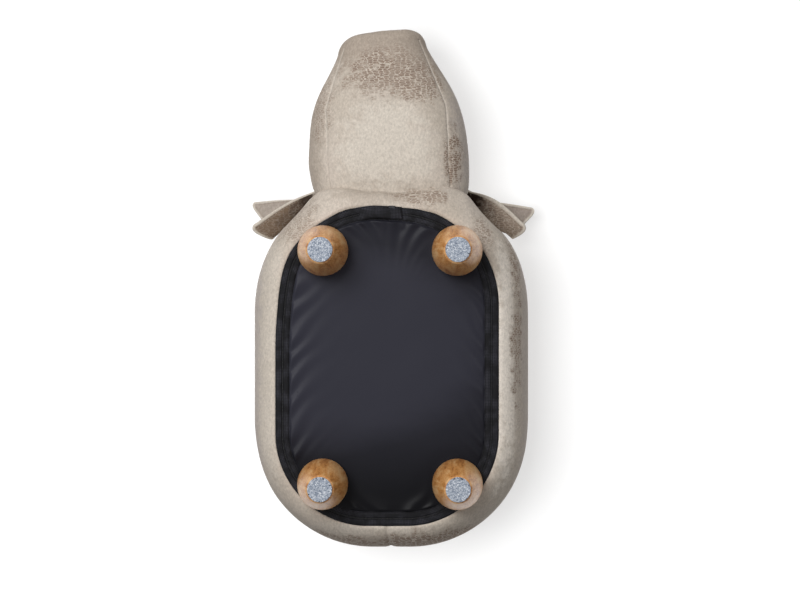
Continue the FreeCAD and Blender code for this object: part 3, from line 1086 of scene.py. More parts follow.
@dataclass(frozen=True)
class Thread:
    """A row of short machine stitches."""

    pitch: float = 4.2 * MM
    length: float = 3.0 * MM
    radius: float = 0.38 * MM
    sides: int = 6
    steps: Row = (0.0, 0.22, 0.78, 1.0)
    swell: Row = (0.35, 1.0, 1.0, 0.35)

    def sew(self, name: str, paths: Sequence[tuple[Array, Array]]) -> Piece:
        """Sews stitches along paths.

        Args:
            name: Name of the piece.
            paths: Points of each path, with the outward normal at each point.

        Returns:
            All stitches as one piece.
        """
        points: list[Array] = []
        faces: list[list[int]] = []
        around = np.arange(self.sides) * 2 * math.pi / self.sides
        for path, normals in paths:
            run = run_lengths(path)
            for start in np.arange(self.pitch, run[-1] - self.pitch, self.pitch):
                ends = [np.array([np.interp(p, run, path[:, k]) for k in range(3)])
                        for p in (start, start + self.length)]
                up = np.array([np.interp(start, run, normals[:, k]) for k in range(3)])
                up /= np.linalg.norm(up)
                aside = np.cross(ends[1] - ends[0], up)
                aside /= np.linalg.norm(aside)
                first = len(points) * len(self.steps) * self.sides
                rings = [ends[0] + (ends[1] - ends[0]) * t + self.radius * r
                         * (np.cos(around)[:, None] * aside + np.sin(around)[:, None] * up)
                         for t, r in zip(self.steps, self.swell)]
                points.append(np.concatenate(rings))
                faces += (grid_faces(len(self.steps), self.sides, True) + first).tolist()
                last = first + (len(self.steps) - 1) * self.sides
                faces += [list(range(first, first + self.sides))[::-1], list(range(last, last + self.sides))]
        piece = new_piece(name, np.concatenate(points), faces)
        outwards(piece)
        return piece


@dataclass(frozen=True)
class Ear:
    """Leaf of two leather layers, folded lengthwise with its mouth forwards, topstitched inside its edge.

    Places are given as for a right ear; the left one mirrors them.
    """

    side: str
    near_root: Pair = (-6.5 * MM, -4.5 * MM)
    near_tip: Triple = (0.1895, -0.0775, 0.2385)
    near_bulge: float = 4.5 * MM
    fold_root: Pair = (3.0 * MM, 0.0)
    fold_tip: Triple = (0.1580, -0.0655, 0.2600)
    fold_bulge: float = 0.0
    far_root: Pair = (4.5 * MM, 4.5 * MM)
    far_tip: Triple = (0.1915, -0.1130, 0.2835)
    far_bulge: float = 1.5 * MM
    corner: float = 14.0 * MM
    edge_round: float = 1.0 * MM
    bead_radius: float = 4.5 * MM
    root_y: float = -119.0 * MM
    root_z: float = 260.0 * MM
    buried: float = 9.0 * MM
    flex: float = 20.0 * MM
    band: float = 6.0 * MM
    thickness: float = 4.6 * MM
    groove: float = 0.6 * MM
    groove_width: float = 0.8 * MM
    spacing: float = 3.0 * MM
    fine: Row = tuple(v * MM for v in (0.0, 0.2, 0.7, 1.5, 2.6, 3.9, 5.1, 6.0, 6.9, 8.4, 11.0))
    shaft_rows: int = 26
    measures: int = 400
    swell_run: float = 0.85
    fold_power: float = 1.7
    uneven: Unevenness = Unevenness(0.6 * MM, 26.0 * MM, 5.0)
    # Painted highlight on the rim: full up to the first distance from the edge, gone past the second.
    edge_highlight: Pair = (2.2 * MM, 5.2 * MM)
    weld_gap: float = 0.02 * MM
    thread: Thread = Thread()
    thread_row: int = 8
    thread_lift: float = 0.35

    def root(self) -> Array:
        """Point of the hinge's axis from which the ear goes out."""
        inner = min(abs(corner.x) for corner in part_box(self.side + "_ear"))
        return np.array([inner + self.bead_radius, self.root_y, self.root_z])

    def length(self) -> float:
        """Length of the leaf along its near edge."""
        return float(np.linalg.norm(np.array(self.near_tip) - self.root()))

    def guide(self, root: Pair, tip: Triple, bulge: float, run: Array) -> Array:
        """A lengthwise line of the leaf.

        Args:
            root: How far behind and above the hinge's point it starts.
            tip: Where it ends.
            bulge: How far it bulges forwards.
            run: Shares of the way from the root to the tip.

        Returns:
            Its points.
        """
        start = self.root() + np.array([0.0, root[0], root[1]])
        ahead = np.array([0.0, -bulge, 0.0])
        swell = np.sin(math.pi * np.clip(run / self.swell_run, 0.0, 1.0))
        return start + run[..., None] * (np.array(tip) - start) + swell[..., None] * ahead

    def leaf(self, run: Array, share: Array) -> Array:
        """Middle surface of the folded leaf.

        Args:
            run: Share of the way from the root to the tip.
            share: From -1 at the near edge through 0 at the fold to 1 at the far edge.

        Returns:
            Points, in the right ear's place.
        """
        run, share = np.broadcast_arrays(run, share)
        near = self.guide(self.near_root, self.near_tip, self.near_bulge, run)
        fold = self.guide(self.fold_root, self.fold_tip, self.fold_bulge, run)
        far = self.guide(self.far_root, self.far_tip, self.far_bulge, run)
        bend = (np.abs(share) ** self.fold_power)[..., None]
        return fold + (far - near) / 2 * share[..., None] + ((far + near) / 2 - fold) * bend

    def shares(self) -> tuple[Array, Array]:
        """Places of the leaf's columns.

        Returns:
            Places from -1 to 1, and how far each is from the nearer edge at the widest section.
        """
        every = np.linspace(-1.0, 1.0, self.measures)
        run = run_lengths(self.leaf(np.full(self.measures, self.swell_run), every))
        places = clustered(run[-1], self.spacing, self.fine)
        return np.interp(places, run, every), np.minimum(places, run[-1] - places)

    def half_thickness(self, away: Array) -> Array:
        """Half of the leaf's thickness: rounded at the edge, drawn in along the topstitching.

        Args:
            away: Distances from the edge.

        Returns:
            Half of the thickness at each.
        """
        rim = np.clip(away / self.edge_round, 0.0, 1.0)
        full = self.thickness / 2 * np.sqrt(1 - (1 - rim) ** 2)
        return full - self.groove * np.exp(-((away - self.band) / self.groove_width) ** 2)

    def build(self, leather: Material, cotton: Material) -> None:
        """Builds the ear and its topstitching.

        Args:
            leather: Material of the ear.
            cotton: Material of the thread.
        """
        mirror = np.array([SIDES[self.side], 1.0, 1.0])
        near = np.array(self.fine)
        long = self.length()
        shaft = np.linspace(-self.buried, long - near[-1] - self.spacing, self.shaft_rows)
        runs = np.concatenate([shaft, long - near[::-1]]) / long
        shares, from_side = self.shares()
        inside = np.clip(1 - from_side / self.corner, 0.0, 1.0)
        ends = 1 - self.corner * (1 - np.sqrt(1 - inside ** 2)) / long
        middle = self.leaf(runs[:, None] * ends[None, :], shares[None, :])
        middle[..., 2] += self.uneven.at(middle)
        normal = grid_normals(middle)
        away = np.minimum(from_side[None, :], ((1 - runs) * long)[:, None])
        half = self.half_thickness(away)[..., None]
        shells = np.concatenate([middle + normal * half, middle - normal * half]) * mirror
        rows, cols = middle.shape[:2]
        outer = grid_faces(rows, cols)
        inner = outer[:, ::-1] + rows * cols
        seam = [[c, c + rows * cols, c + 1 + rows * cols, c + 1] for c in range(cols - 1)]
        ear = new_piece(self.side + "_folded_ear", shells, np.concatenate([outer, inner, seam]))
        # Painted highlight on the rolled rim along the edge, on both layers.
        mark_painted_highlight(ear, np.tile(1 - smooth_step(away, *self.edge_highlight), (2, 1)))
        edit_all(ear, bpy.ops.mesh.remove_doubles, threshold=self.weld_gap)
        outwards(ear)
        modify(ear, "SUBSURF", levels=1, render_levels=1)
        row = int(np.argmin(np.abs((1 - runs) * long - self.band)))
        left, right = [int(i) for i in np.nonzero(np.isclose(from_side, self.band))[0]]
        shaft_line = slice(self.thread_row, row + 1)
        lines = [(shaft_line, left), (row, slice(left, right + 1)), (shaft_line, right)]
        paths = []
        for line in lines:
            lift = normal[line] * (half[line] + self.thread.radius * self.thread_lift)
            paths += [((middle[line] + lift) * mirror, normal[line] * mirror),
                      ((middle[line] - lift) * mirror, -normal[line] * mirror)]
        stitches = self.thread.sew(self.side + "_ear_stitches", paths)
        dress(ear, leather, None, (self.side + "_ear",))
        dress(stitches, cotton, None)
        for piece in (ear, stitches):
            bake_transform(piece)


@dataclass(frozen=True)
class Tail:
    """Stuffed leather tube that bends out of the rump and curls once."""

    radius: float = 4.6 * MM
    tip_radius: float = 3.4 * MM
    bend_radius: float = 7.0 * MM
    curl_radius: float = 12.0 * MM
    turn: float = math.radians(275.0)
    level: float = 280.0 * MM
    solid_radius: float = 4.5 * MM
    tip_turns: Row = (25.0, 50.0, 72.0, 86.0)
    sides: int = 20
    stem: Pair = (10.0 * MM, 1.0 * MM)
    stem_points: int = 6
    bend_points: int = 10
    curl_points: int = 44

    def path(self) -> Array:
        """Middle line of the tube.

        Returns:
            Points from inside the rump to the tip.
        """
        bend_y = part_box("tail")[1].y - self.solid_radius - self.bend_radius
        stem = [(-self.bend_radius, bend_y - back, self.level)
                for back in np.linspace(*self.stem, self.stem_points)]
        turns = np.linspace(0, math.pi / 2, self.bend_points)
        bend = [(-self.bend_radius * math.cos(a), bend_y + self.bend_radius * math.sin(a), self.level)
                for a in turns]
        curl_y = bend_y + self.bend_radius
        turns = np.linspace(0, self.turn, self.curl_points)[1:]
        curl = [(self.curl_radius * math.sin(a), curl_y, self.level + self.curl_radius * (1 - math.cos(a)))
                for a in turns]
        return np.array(stem + bend + curl)

    def build(self, leather: Material) -> None:
        """Builds the tail.

        Args:
            leather: Its material.
        """
        path = self.path()
        ahead = np.gradient(path, axis=0)
        ahead /= np.linalg.norm(ahead, axis=1, keepdims=True)
        side = np.array([0.0, 0.0, 1.0])
        radii = np.linspace(self.radius, self.tip_radius, len(path))
        around = np.linspace(0, 2 * math.pi, self.sides, endpoint=False)
        rings = []
        for place, way, radius in zip(path, ahead, radii):
            side = side - way * np.dot(side, way)
            side /= np.linalg.norm(side)
            spokes = np.cos(around)[:, None] * side + np.sin(around)[:, None] * np.cross(way, side)
            rings.append(place + radius * spokes)
        for turn in np.radians(self.tip_turns):
            rings.append(path[-1] + self.tip_radius * (ahead[-1] * math.sin(turn) + spokes * math.cos(turn)))
        grid = np.stack(rings)
        faces = grid_faces(*grid.shape[:2], True).tolist()
        last = grid.shape[0] * self.sides
        faces += [list(range(self.sides))[::-1], list(range(last - self.sides, last))]
        piece = new_piece("curled_tail", grid, faces)
        outwards(piece)
        modify(piece, "SUBSURF", levels=1, render_levels=1)
        dress(piece, leather, stands_for=("tail",))


@dataclass(frozen=True)
class Face:
    """Nostril patches and button eyes on the head."""

    head: HeadForm
    nostril_half: Pair = (7.0 * MM, 12.0 * MM)
    nostril_swell: float = 2.9 * MM
    eye_y: float = -232.0 * MM
    eye_turn: float = math.radians(52.0)
    eye_lean: float = 0.35
    eye_radius: float = 9.0 * MM
    eye_dome: float = 4.5 * MM
    rim: float = 3.0 * MM
    facets: tuple[int, int] = (48, 24)
    cut_gap: float = 0.01 * MM

    def dome(self, half: Triple, place: Sequence[float], out: Vector) -> Piece:
        """Makes a dome whose straight rim sinks into the cover.

        Args:
            half: Half width, half length and height of the dome.
            place: Middle of its rim.
            out: Direction in which it bulges.

        Returns:
            The dome.
        """
        piece = start_piece(bpy.ops.mesh.primitive_uv_sphere_add, half, segments=self.facets[0],
                            ring_count=self.facets[1])
        edit_all(piece, bpy.ops.mesh.bisect, plane_co=(0.0, 0.0, 0.0), plane_no=(0.0, 0.0, 1.0),
                 use_fill=True, clear_inner=True, threshold=self.cut_gap)
        # The cut leaves its flat face selected, which is drawn out to the rim's depth.
        bpy.ops.object.mode_set(mode="EDIT")
        bpy.ops.mesh.extrude_region_move(TRANSFORM_OT_translate={"value": (0.0, 0.0, -self.rim)})
        bpy.ops.object.mode_set(mode="OBJECT")
        piece.rotation_mode = "QUATERNION"
        piece.rotation_quaternion = out.to_track_quat("Z", "Y")
        piece.location = place
        bpy.ops.object.transform_apply(location=True, rotation=True, scale=True)
        outwards(piece)
        piece.data.shade_smooth()
        return piece

    def nostrils(self, dark: Material) -> None:
        """Builds the two padded nostril patches on the snout's disc.

        Args:
            dark: Their material.
        """
        low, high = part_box("nostril_patches")
        half = (*self.nostril_half, self.nostril_swell)
        places = [(sign * (high.x - half[0]), self.head.front_y, (low.z + high.z) / 2)
                  for sign in SIDES.values()]
        made = [self.dome(half, place, Vector((0.0, -1.0, 0.0))) for place in places]
        for patch in made:
            patch.select_set(True)
        bpy.ops.object.join()
        piece = bpy.context.object
        piece.name = "nostrils"
        set_points(piece, self.head.settle(points_of(piece)))
        dress(piece, dark, stands_for=("nostril_patches",))

    def eye(self, side: str, button: Material) -> None:
        """Builds one domed button eye on the brow's corner.

        Args:
            side: "left" or "right".
            button: Its material.
        """
        sign = SIDES[side]
        half, _, high, _, corner = self.head.sizes(self.eye_y)
        up = math.sin(self.eye_turn)
        seat = np.array([sign * (half - corner + corner * math.cos(self.eye_turn)), self.eye_y,
                         high - corner + corner * up])
        seat = self.head.settle(seat[None, :])[0]
        out = Vector((sign * math.cos(self.eye_turn), -self.eye_lean, up)).normalized()
        piece = self.dome((self.eye_radius, self.eye_radius, self.eye_dome), seat, out)
        piece.name = side + "_button_eye"
        dress(piece, button, stands_for=(side + "_eye",))


def leg_axis(name: str) -> Pair:
    """Place of a leg's axis in plan, from its felt pad."""
    low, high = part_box(name + "_felt_pad")
    return (low.x + high.x) / 2, (low.y + high.y) / 2


@dataclass(frozen=True)
class Underside:
    """Bottom panel and the zip that runs round it, with a lapped end over its slider."""

    body: BodyForm
    loop_points: int = 500
    step: float = 2.5 * MM
    tape_width: float = 7.0 * MM
    tape_thickness: float = 0.6 * MM
    tape_columns: int = 7
    tape_uneven: Unevenness = Unevenness(0.15 * MM, 30.0 * MM, 8.0)
    sway: float = 1.6 * MM
    sway_run: float = 40.0 * MM
    coil_width: float = 2.0 * MM
    tooth_pitch: float = 1.7 * MM
    tooth_share: Pair = (0.62, 0.92)
    tooth_height: float = 0.9 * MM
    tooth_round: float = 0.25 * MM
    tooth_sink: float = 0.35 * MM
    tooth_ahead: float = 0.1 * MM
    lap_start: float = 3.0 * MM
    lap_end: float = 18.0 * MM
    lap_length: float = 34.0 * MM
    lap_rise: Pair = (32.0 * MM, 12.0 * MM)
    lap_drop: float = 3.3 * MM
    lap_swell: float = 0.5 * MM
    lap_skew: float = 1.6 * MM
    lap_thickness: float = 0.7 * MM
    lap_inset: float = 0.4 * MM
    lap_edge: float = 0.1 * MM
    lap_wall: float = 0.4 * MM
    lap_fullness: int = 6
    lap_grid: tuple[int, int] = (15, 30)
    under_lap: float = 0.3 * MM
    panel_gap: float = 0.8 * MM
    backing_past: Pair = (3.0 * MM, 1.0 * MM)
    panel_spacing: float = 4.2 * MM
    panel_rows: Row = (0.3 * MM, 0.9 * MM, 2.0 * MM, 4.0 * MM, 7.0 * MM, 11.0 * MM)
    panel_thickness: float = 0.4 * MM
    measures: int = 1300
    gather_pitch: float = 30.0 * MM
    gather_slant: float = 1.2
    slant_reach: float = 40.0 * MM
    gather_depth: float = 2.6 * MM
    gather_reach: float = 15.0 * MM
    gather_uneven: Unevenness = Unevenness(0.55, 45.0 * MM, 2.0)
    leg_clear: Pair = (31.0 * MM, 52.0 * MM)
    swells: tuple[Unevenness, ...] = (Unevenness(0.9 * MM, 95.0 * MM, 6.0),
                                      Unevenness(0.25 * MM, 38.0 * MM, 9.0))
    pucker_place: Pair = (15.0 * MM, -77.0 * MM)
    pucker_height: float = 0.9 * MM
    pucker_stretch: float = 0.8
    pucker_wave: float = 2.6 * MM
    pucker_reach: float = 7.0 * MM
    roll: float = 1.1 * MM
    roll_reach: float = 1.3 * MM
    edge_fade: float = 3.0 * MM
    most_lift: float = 0.3 * MM
    sag: float = 0.15 * MM
    hole_radius: float = 9.0 * MM
    hole_corners: int = 32
    drill_length: float = 20.0 * MM

    def half_zip(self) -> float:
        """Half of the closed zip's width."""
        return self.tape_width + self.coil_width / 2

    def loop(self) -> tuple[Array, Array, Array]:
        """Coil's middle line from the front's middle round by the right side.

        Returns:
            Points in plan, their outward normals and their lengths along the line.
        """
        stations = np.linspace(0.0, 5.0, self.loop_points)
        inset = np.full(self.loop_points, self.body.under_inset + self.half_zip())
        half = self.body.outline(stations, inset)
        wide = self.body.outline(stations, inset - MM)
        line = np.concatenate([half[::-1] * MIRROR[:2], half[1:]])
        normal = (np.concatenate([wide[::-1] * MIRROR[:2], wide[1:]]) - line) / MM
        return line, normal, run_lengths(line)

    def whole(self) -> float:
        """Length of the coil's loop."""
        return float(self.loop()[2][-1])

    def on_loop(self, places: Array, aside: Array) -> Array:
        """Plan points near the loop.

        Args:
            places: Places along the loop.
            aside: How far each is moved outwards from the coil's middle line.

        Returns:
            x and y of each point.
        """
        line, normal, run = self.loop()
        wrapped = np.mod(places, run[-1])
        base, way = [np.stack([np.interp(wrapped, run, table[:, k]) for k in range(2)], -1)
                     for table in (line, normal)]
        moved = base + way * aside[..., None]
        return moved + self.body.sewn_shift(moved)

    @staticmethod
    def lay_weave(piece: Piece, places: Array, aside: Array) -> None:
        """Gives a tape a UV map of the places along and across it.

        Args:
            piece: The tape.
            places: Place of each point along the loop.
            aside: Distance of each point from the coil's middle line.
        """
        coords = np.stack([places, aside], -1).reshape(-1, 2)
        layer = piece.data.uv_layers.new(name="weave")
        for loop in piece.data.loops:
            layer.data[loop.index].uv = coords[loop.vertex_index]

    def band(self, name: str, edges: Pair, swell: float, sink: float) -> Piece:
        """Sweeps one woven tape round the panel, from under the lap to its square end.

        Args:
            name: Name of the piece.
            edges: Distance of its inner and outer edge from the coil's middle line, outwards.
            swell: How far its middle bulges down.
            sink: How far its edges lie above the underside's level.

        Returns:
            The tape.
        """
        whole = self.whole()
        length = whole + self.lap_end - self.lap_start
        places = self.lap_start + np.linspace(0.0, length, round(length / self.step))
        across = np.linspace(0.0, 1.0, self.tape_columns)[:, None]
        start = 1 - smooth_step(places, self.lap_start, self.lap_start + self.sway_run)
        aside = edges[0] + (edges[1] - edges[0]) * across - self.sway * start
        places = np.broadcast_to(places, aside.shape)
        lap = smooth_step(places, whole - self.lap_length, whole - self.lap_rise[1])
        level = self.body.underside_z + sink - swell * np.sin(across * math.pi) - self.under_lap * lap
        grid = np.concatenate([self.on_loop(places, aside), level[..., None]], -1)
        grid[..., 2] += self.tape_uneven.at(grid)
        piece = new_piece(name, grid, grid_faces(*grid.shape[:2]))
        self.lay_weave(piece, places, aside)
        modify(piece, "SOLIDIFY", thickness=self.tape_thickness, offset=-1.0)
        return piece

    def lap(self) -> Piece:
        """Builds the tape's square end, which laps over the slider.

        Returns:
            The lap.
        """
        whole = self.whole()
        columns, rows = self.lap_grid
        places = whole - self.lap_length + np.linspace(0.0, self.lap_length + self.lap_end, rows)
        across = np.linspace(-1.0, 1.0, columns)[:, None]
        ends = places - across * self.lap_skew * smooth_step(places, whole, places[-1])
        aside = np.broadcast_to(across * (self.half_zip() - self.lap_inset), ends.shape)
        rise = smooth_step(places, whole - self.lap_rise[0], whole - self.lap_rise[1])
        crown = 1 - np.abs(across) ** self.lap_fullness
        level = self.body.underside_z - self.lap_edge - (self.lap_drop * rise + self.lap_swell) * crown
        grid = np.concatenate([self.on_loop(ends, aside), level[..., None]], -1)
        wall = grid[:, -1:].copy()
        wall[..., 2] = self.body.underside_z + self.lap_wall
        grid = np.concatenate([grid, wall], 1)
        piece = new_piece("zip_lap", grid, grid_faces(*grid.shape[:2]))
        self.lay_weave(piece, np.append(ends, ends[:, -1:], 1), np.append(aside, aside[:, -1:], 1))
        modify(piece, "SOLIDIFY", thickness=self.lap_thickness, offset=-1.0)
        return piece

    def teeth(self) -> Piece:
        """Builds the coil as a row of small rounded teeth.

        Returns:
            All teeth as one piece.
        """
        length, width = self.tooth_share[0] * self.tooth_pitch, self.tooth_share[1] * self.coil_width
        tooth = start_piece(bpy.ops.mesh.primitive_cube_add, (length, width, self.tooth_height), size=1.0)
        modify(tooth, "BEVEL", width=self.tooth_round, segments=1)
        shape = points_of(tooth)
        sides = [list(polygon.vertices) for polygon in tooth.data.polygons]
        bpy.data.objects.remove(tooth)
        places = np.arange(0.0, self.whole(), self.tooth_pitch)
        here = self.on_loop(places, np.zeros_like(places))
        ahead = self.on_loop(places + self.tooth_ahead, np.zeros_like(places)) - here
        ahead /= np.linalg.norm(ahead, axis=1, keepdims=True)
        level = shape[:, 2:] + self.body.underside_z + self.tooth_sink
        points = []
        faces: list[list[int]] = []
        for index, (place, way) in enumerate(zip(here, ahead)):
            turned = shape[:, :1] * way + shape[:, 1:2] * np.array([-way[1], way[0]])
            points.append(np.concatenate([place + turned, level], 1))
            faces += [[i + index * len(shape) for i in side] for side in sides]
        return new_piece("zip_teeth", np.concatenate(points), faces)

    def panel(self) -> Piece:
        """Builds the gathered nylon panel, which faces down.

        Returns:
            The panel.
        """
        whole = self.whole()
        count = 2 * round(whole / self.panel_spacing / 2)
        places = np.linspace(0.0, whole, count, endpoint=False)
        asides = [np.full(count, -self.half_zip() - row) for row in self.panel_rows]
        plan = np.stack([self.on_loop(places, aside) for aside in asides])
        grid = np.concatenate([plan, np.full(plan.shape[:2] + (1,), self.body.underside_z)], -1)
        piece = new_piece("nylon_panel", grid, grid_faces(*grid.shape[:2], True))
        last = len(self.panel_rows) * count
        fill_hole(piece, range(last - count, last), count // 6)
        modify(piece, "SUBSURF", levels=1, render_levels=1, subdivision_type="SIMPLE")
        points = points_of(piece)
        loop = self.on_loop(np.linspace(0.0, whole, self.measures), np.zeros(self.measures))
        gaps = ((points[:, None, :2] - loop[None]) ** 2).sum(-1)
        away = np.maximum(np.sqrt(gaps.min(1)) - self.half_zip(), 0.0)
        place = np.argmin(gaps, 1) * whole / (self.measures - 1)
        points[:, 2] -= self.waves(points, away, place)
        set_points(piece, points)
        outwards(piece)
        if sum(polygon.normal.z for polygon in piece.data.polygons) > 0:
            piece.data.flip_normals()
        modify(piece, "SOLIDIFY", thickness=self.panel_thickness, offset=-1.0)
        for name in LEGS:
            self.pierce(piece, name)
        return piece

    def waves(self, points: Array, away: Array, place: Array) -> Array:
        """How far the panel bulges down: slanted gathers at its edge, slow swells and one pucker.

        Args:
            points: Points of the flat panel.
            away: Their distance from the panel's edge.
            place: Their place along the zip.

        Returns:
            The bulge of each point.
        """
        x, y = points[:, 0], points[:, 1]
        free = smooth_step(away, 0.0, self.edge_fade)
        for name in LEGS:
            leg_x, leg_y = leg_axis(name)
            free *= smooth_step(np.hypot(x - leg_x, y - leg_y), *self.leg_clear)
        slant = self.gather_slant * np.clip(x / self.slant_reach, -1.0, 1.0)
        phase = (place + slant * away) / self.gather_pitch + self.gather_uneven.at(points)
        bulge = self.gather_depth * (0.5 + 0.5 * np.sin(2 * math.pi * phase))
        bulge *= np.exp(-away / self.gather_reach)
        for swell in self.swells:
            bulge += swell.at(points)
        pinch = np.hypot(x - self.pucker_place[0], (y - self.pucker_place[1]) * self.pucker_stretch)
        ripple = np.cos(pinch / self.pucker_wave) * np.exp(-(pinch / self.pucker_reach) ** 2)
        bulge += self.pucker_height * ripple
        roll = self.roll * np.exp(-(away / self.roll_reach) ** 2)
        return np.maximum(free * bulge, -self.most_lift) + self.sag - roll

    def pierce(self, piece: Piece, name: str) -> None:
        """Cuts the hole for one leg's bolt.

        Args:
            piece: The panel.
            name: Which leg.
        """
        place = (*leg_axis(name), self.body.underside_z)
        drill = start_piece(bpy.ops.mesh.primitive_cylinder_add, vertices=self.hole_corners,
                            radius=self.hole_radius, depth=self.drill_length, location=place)
        modify(piece, "BOOLEAN", operation="DIFFERENCE", object=drill, solver="EXACT")
        bpy.data.objects.remove(drill)

    def flat_area(self) -> float:
        """Flat area of the panel before its gathers are drawn in.

        Returns:
            Square metres.
        """
        inset = np.full(self.measures, self.body.under_inset + 2 * self.half_zip())
        x, y = self.body.outline(np.linspace(0.0, 5.0, self.measures), inset).T
        return 2 * abs(float(np.sum((x[1:] + x[:-1]) / 2 * np.diff(y))))

    def build(self, nylon: Material, tape: Material, coil: Material) -> None:
        """Builds panel, tapes, coil and lapped end.

        Args:
            nylon: Material of the panel.
            tape: Material of the woven tapes.
            coil: Material of the teeth.
        """
        gap = self.coil_width / 2
        half = self.half_zip()
        past_in, past_out = self.backing_past
        outer = self.band("zip_outer_band", (gap, half), swell=0.7 * MM, sink=0.25 * MM)
        inner = self.band("zip_inner_band", (self.panel_gap - half, -gap), swell=0.3 * MM, sink=0.3 * MM)
        backing = self.band("zip_backing", (-half - past_in, half + past_out), swell=0.0, sink=0.8 * MM)
        dress(backing, tape)
        dress(outer, tape, stands_for=("zip_outer_tape",))
        dress(inner, tape, stands_for=("zip_inner_tape",))
        dress(self.lap(), tape, stands_for=("zip_garage",))
        dress(self.teeth(), coil, stands_for=("zip_coil",))
        panel = self.panel()
        dress(panel, nylon, stands_for=("bottom_panel",))
        points = points_of(panel)
        self.flat_area()


@dataclass(frozen=True)
class FeltPad:
    """Round needle-felt pad under a leg, with a soft uneven edge."""

    leg: str
    corners: int = 64
    insets: Row = (0.6 * MM, 2.4 * MM, 3.0 * MM, 3.0 * MM, 3.0 * MM)
    round_edge: float = 0.6 * MM
    round_angle: float = math.radians(50.0)
    fuzz: Unevenness = Unevenness(0.3 * MM, 1.7 * MM, 1.0)
    ragged: Unevenness = Unevenness(0.02, 2.3 * MM, 4.0)

    def build(self, felt: Material) -> None:
        """Builds the pad.

        Args:
            felt: Its material.
        """
        low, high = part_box(self.leg + "_felt_pad")
        middle = (low + high) / 2
        piece = start_piece(bpy.ops.mesh.primitive_cylinder_add, vertices=self.corners, depth=high.z - low.z,
                            radius=(high.x - low.x) / 2, end_fill_type="NGON", location=middle)
        piece.name = self.leg + "_felt"
        bpy.ops.object.mode_set(mode="EDIT")
        bpy.ops.mesh.select_mode(type="FACE")
        bpy.ops.mesh.select_all(action="DESELECT")
        bpy.ops.mesh.select_face_by_sides(number=self.corners)
        for width in self.insets:
            bpy.ops.mesh.inset(thickness=width, use_individual=True)
        bpy.ops.mesh.select_mode(type="VERT")
        bpy.ops.object.mode_set(mode="OBJECT")
        modify(piece, "BEVEL", width=self.round_edge, segments=2, limit_method="ANGLE",
               angle_limit=self.round_angle)
        points = points_of(piece)
        share = np.clip((high.z - points[:, 2]) / (high.z - low.z), 0.0, 1.0)
        points[:, 2] += np.abs(self.fuzz.at(points)) * share
        widen = 1 + (self.ragged.at(points) * share)[:, None]
        centre = np.array([middle.x, middle.y])
        points[:, :2] = centre + (points[:, :2] - centre) * widen
        set_points(piece, points)
        piece.data.shade_smooth()
        dress(piece, felt, self.leg + "_leg", (self.leg + "_felt_pad",))


@dataclass(frozen=True)
class Area:
    """A part of the cover where its finish differs: an ellipsoid in the stool's frame with a soft border.

    Its centre and reach are in millimetres.
    """

    centre: Triple
    reach: Triple
    strength: float = 1.0


def spread(tree: Tree, place: Socket, areas: Sequence[Area], ragged: Node) -> Node:
    """Share by which a place belongs to some areas, with a ragged soft border.

    Args:
        tree: Node tree that gets the nodes.
        place: Object coordinates.
        areas: The areas.
        ragged: Unevenness of the border, about 0.

    Returns:
        Node that gives a value from 0 to 1.
    """
    shares = []
    for area in areas:
        centre, reach = [[v * MM for v in triple] for triple in (area.centre, area.reach)]
        offset = add_node(tree, "VectorMath", {0: place, 1: centre}, operation="SUBTRACT")
        scaled = add_node(tree, "VectorMath", {0: offset, 1: reach}, operation="DIVIDE")
        radius = add_node(tree, "VectorMath", {0: scaled}, operation="LENGTH")
        uneven = add_node(tree, "Math", {0: radius, 1: ragged}, operation="ADD")
        limits = {"Value": uneven, "From Min": 1.0, "From Max": 0.5, "To Max": area.strength}
        shares.append(add_node(tree, "MapRange", limits, interpolation_type="SMOOTHSTEP"))
    total = shares[0]
    for share in shares[1:]:
        total = add_node(tree, "Math", {0: total, 1: share}, operation="MAXIMUM")
    return total


def blend(tree: Tree, share: Any, under: Any, over: Any) -> Node:
    """Mixes a colour over another one by a share."""
    return add_node(tree, "Mix", {"Factor": share, "A": under, "B": over}, data_type="RGBA")


# Areas of the cover, each set named for what it does there; the ears have sets of their own. Some sets are
# painted light and shade, not the leather's own colour: light on the right rim, cool shade on the sides,
# shade on the ears' near lobes and a shadow at their roots.
PALE = (
    Area((-5, -165, 112), (72, 98, 60)),
    Area((136, 100, 105), (22, 200, 30)),
    Area((-150, 80, 110), (30, 230, 50), 0.6),
    Area((0, 296, 100), (120, 20, 30), 0.6),
    Area((0, 110, 345), (150, 200, 60), 0.8),
)
TAUPE = (
    Area((0, -318, 170), (130, 95, 120)),
    Area((-100, -190, 190), (35, 120, 90), 0.6),
    Area((0, -122, 95), (110, 26, 30), 0.6),
    Area((30, 318, 150), (170, 45, 80)),
)
# Painted light: the right rim near the zip painted paler, as if more light fell on it.
PAINTED_RIM_LIGHT = (Area((141, 90, 106), (22, 200, 30)),)
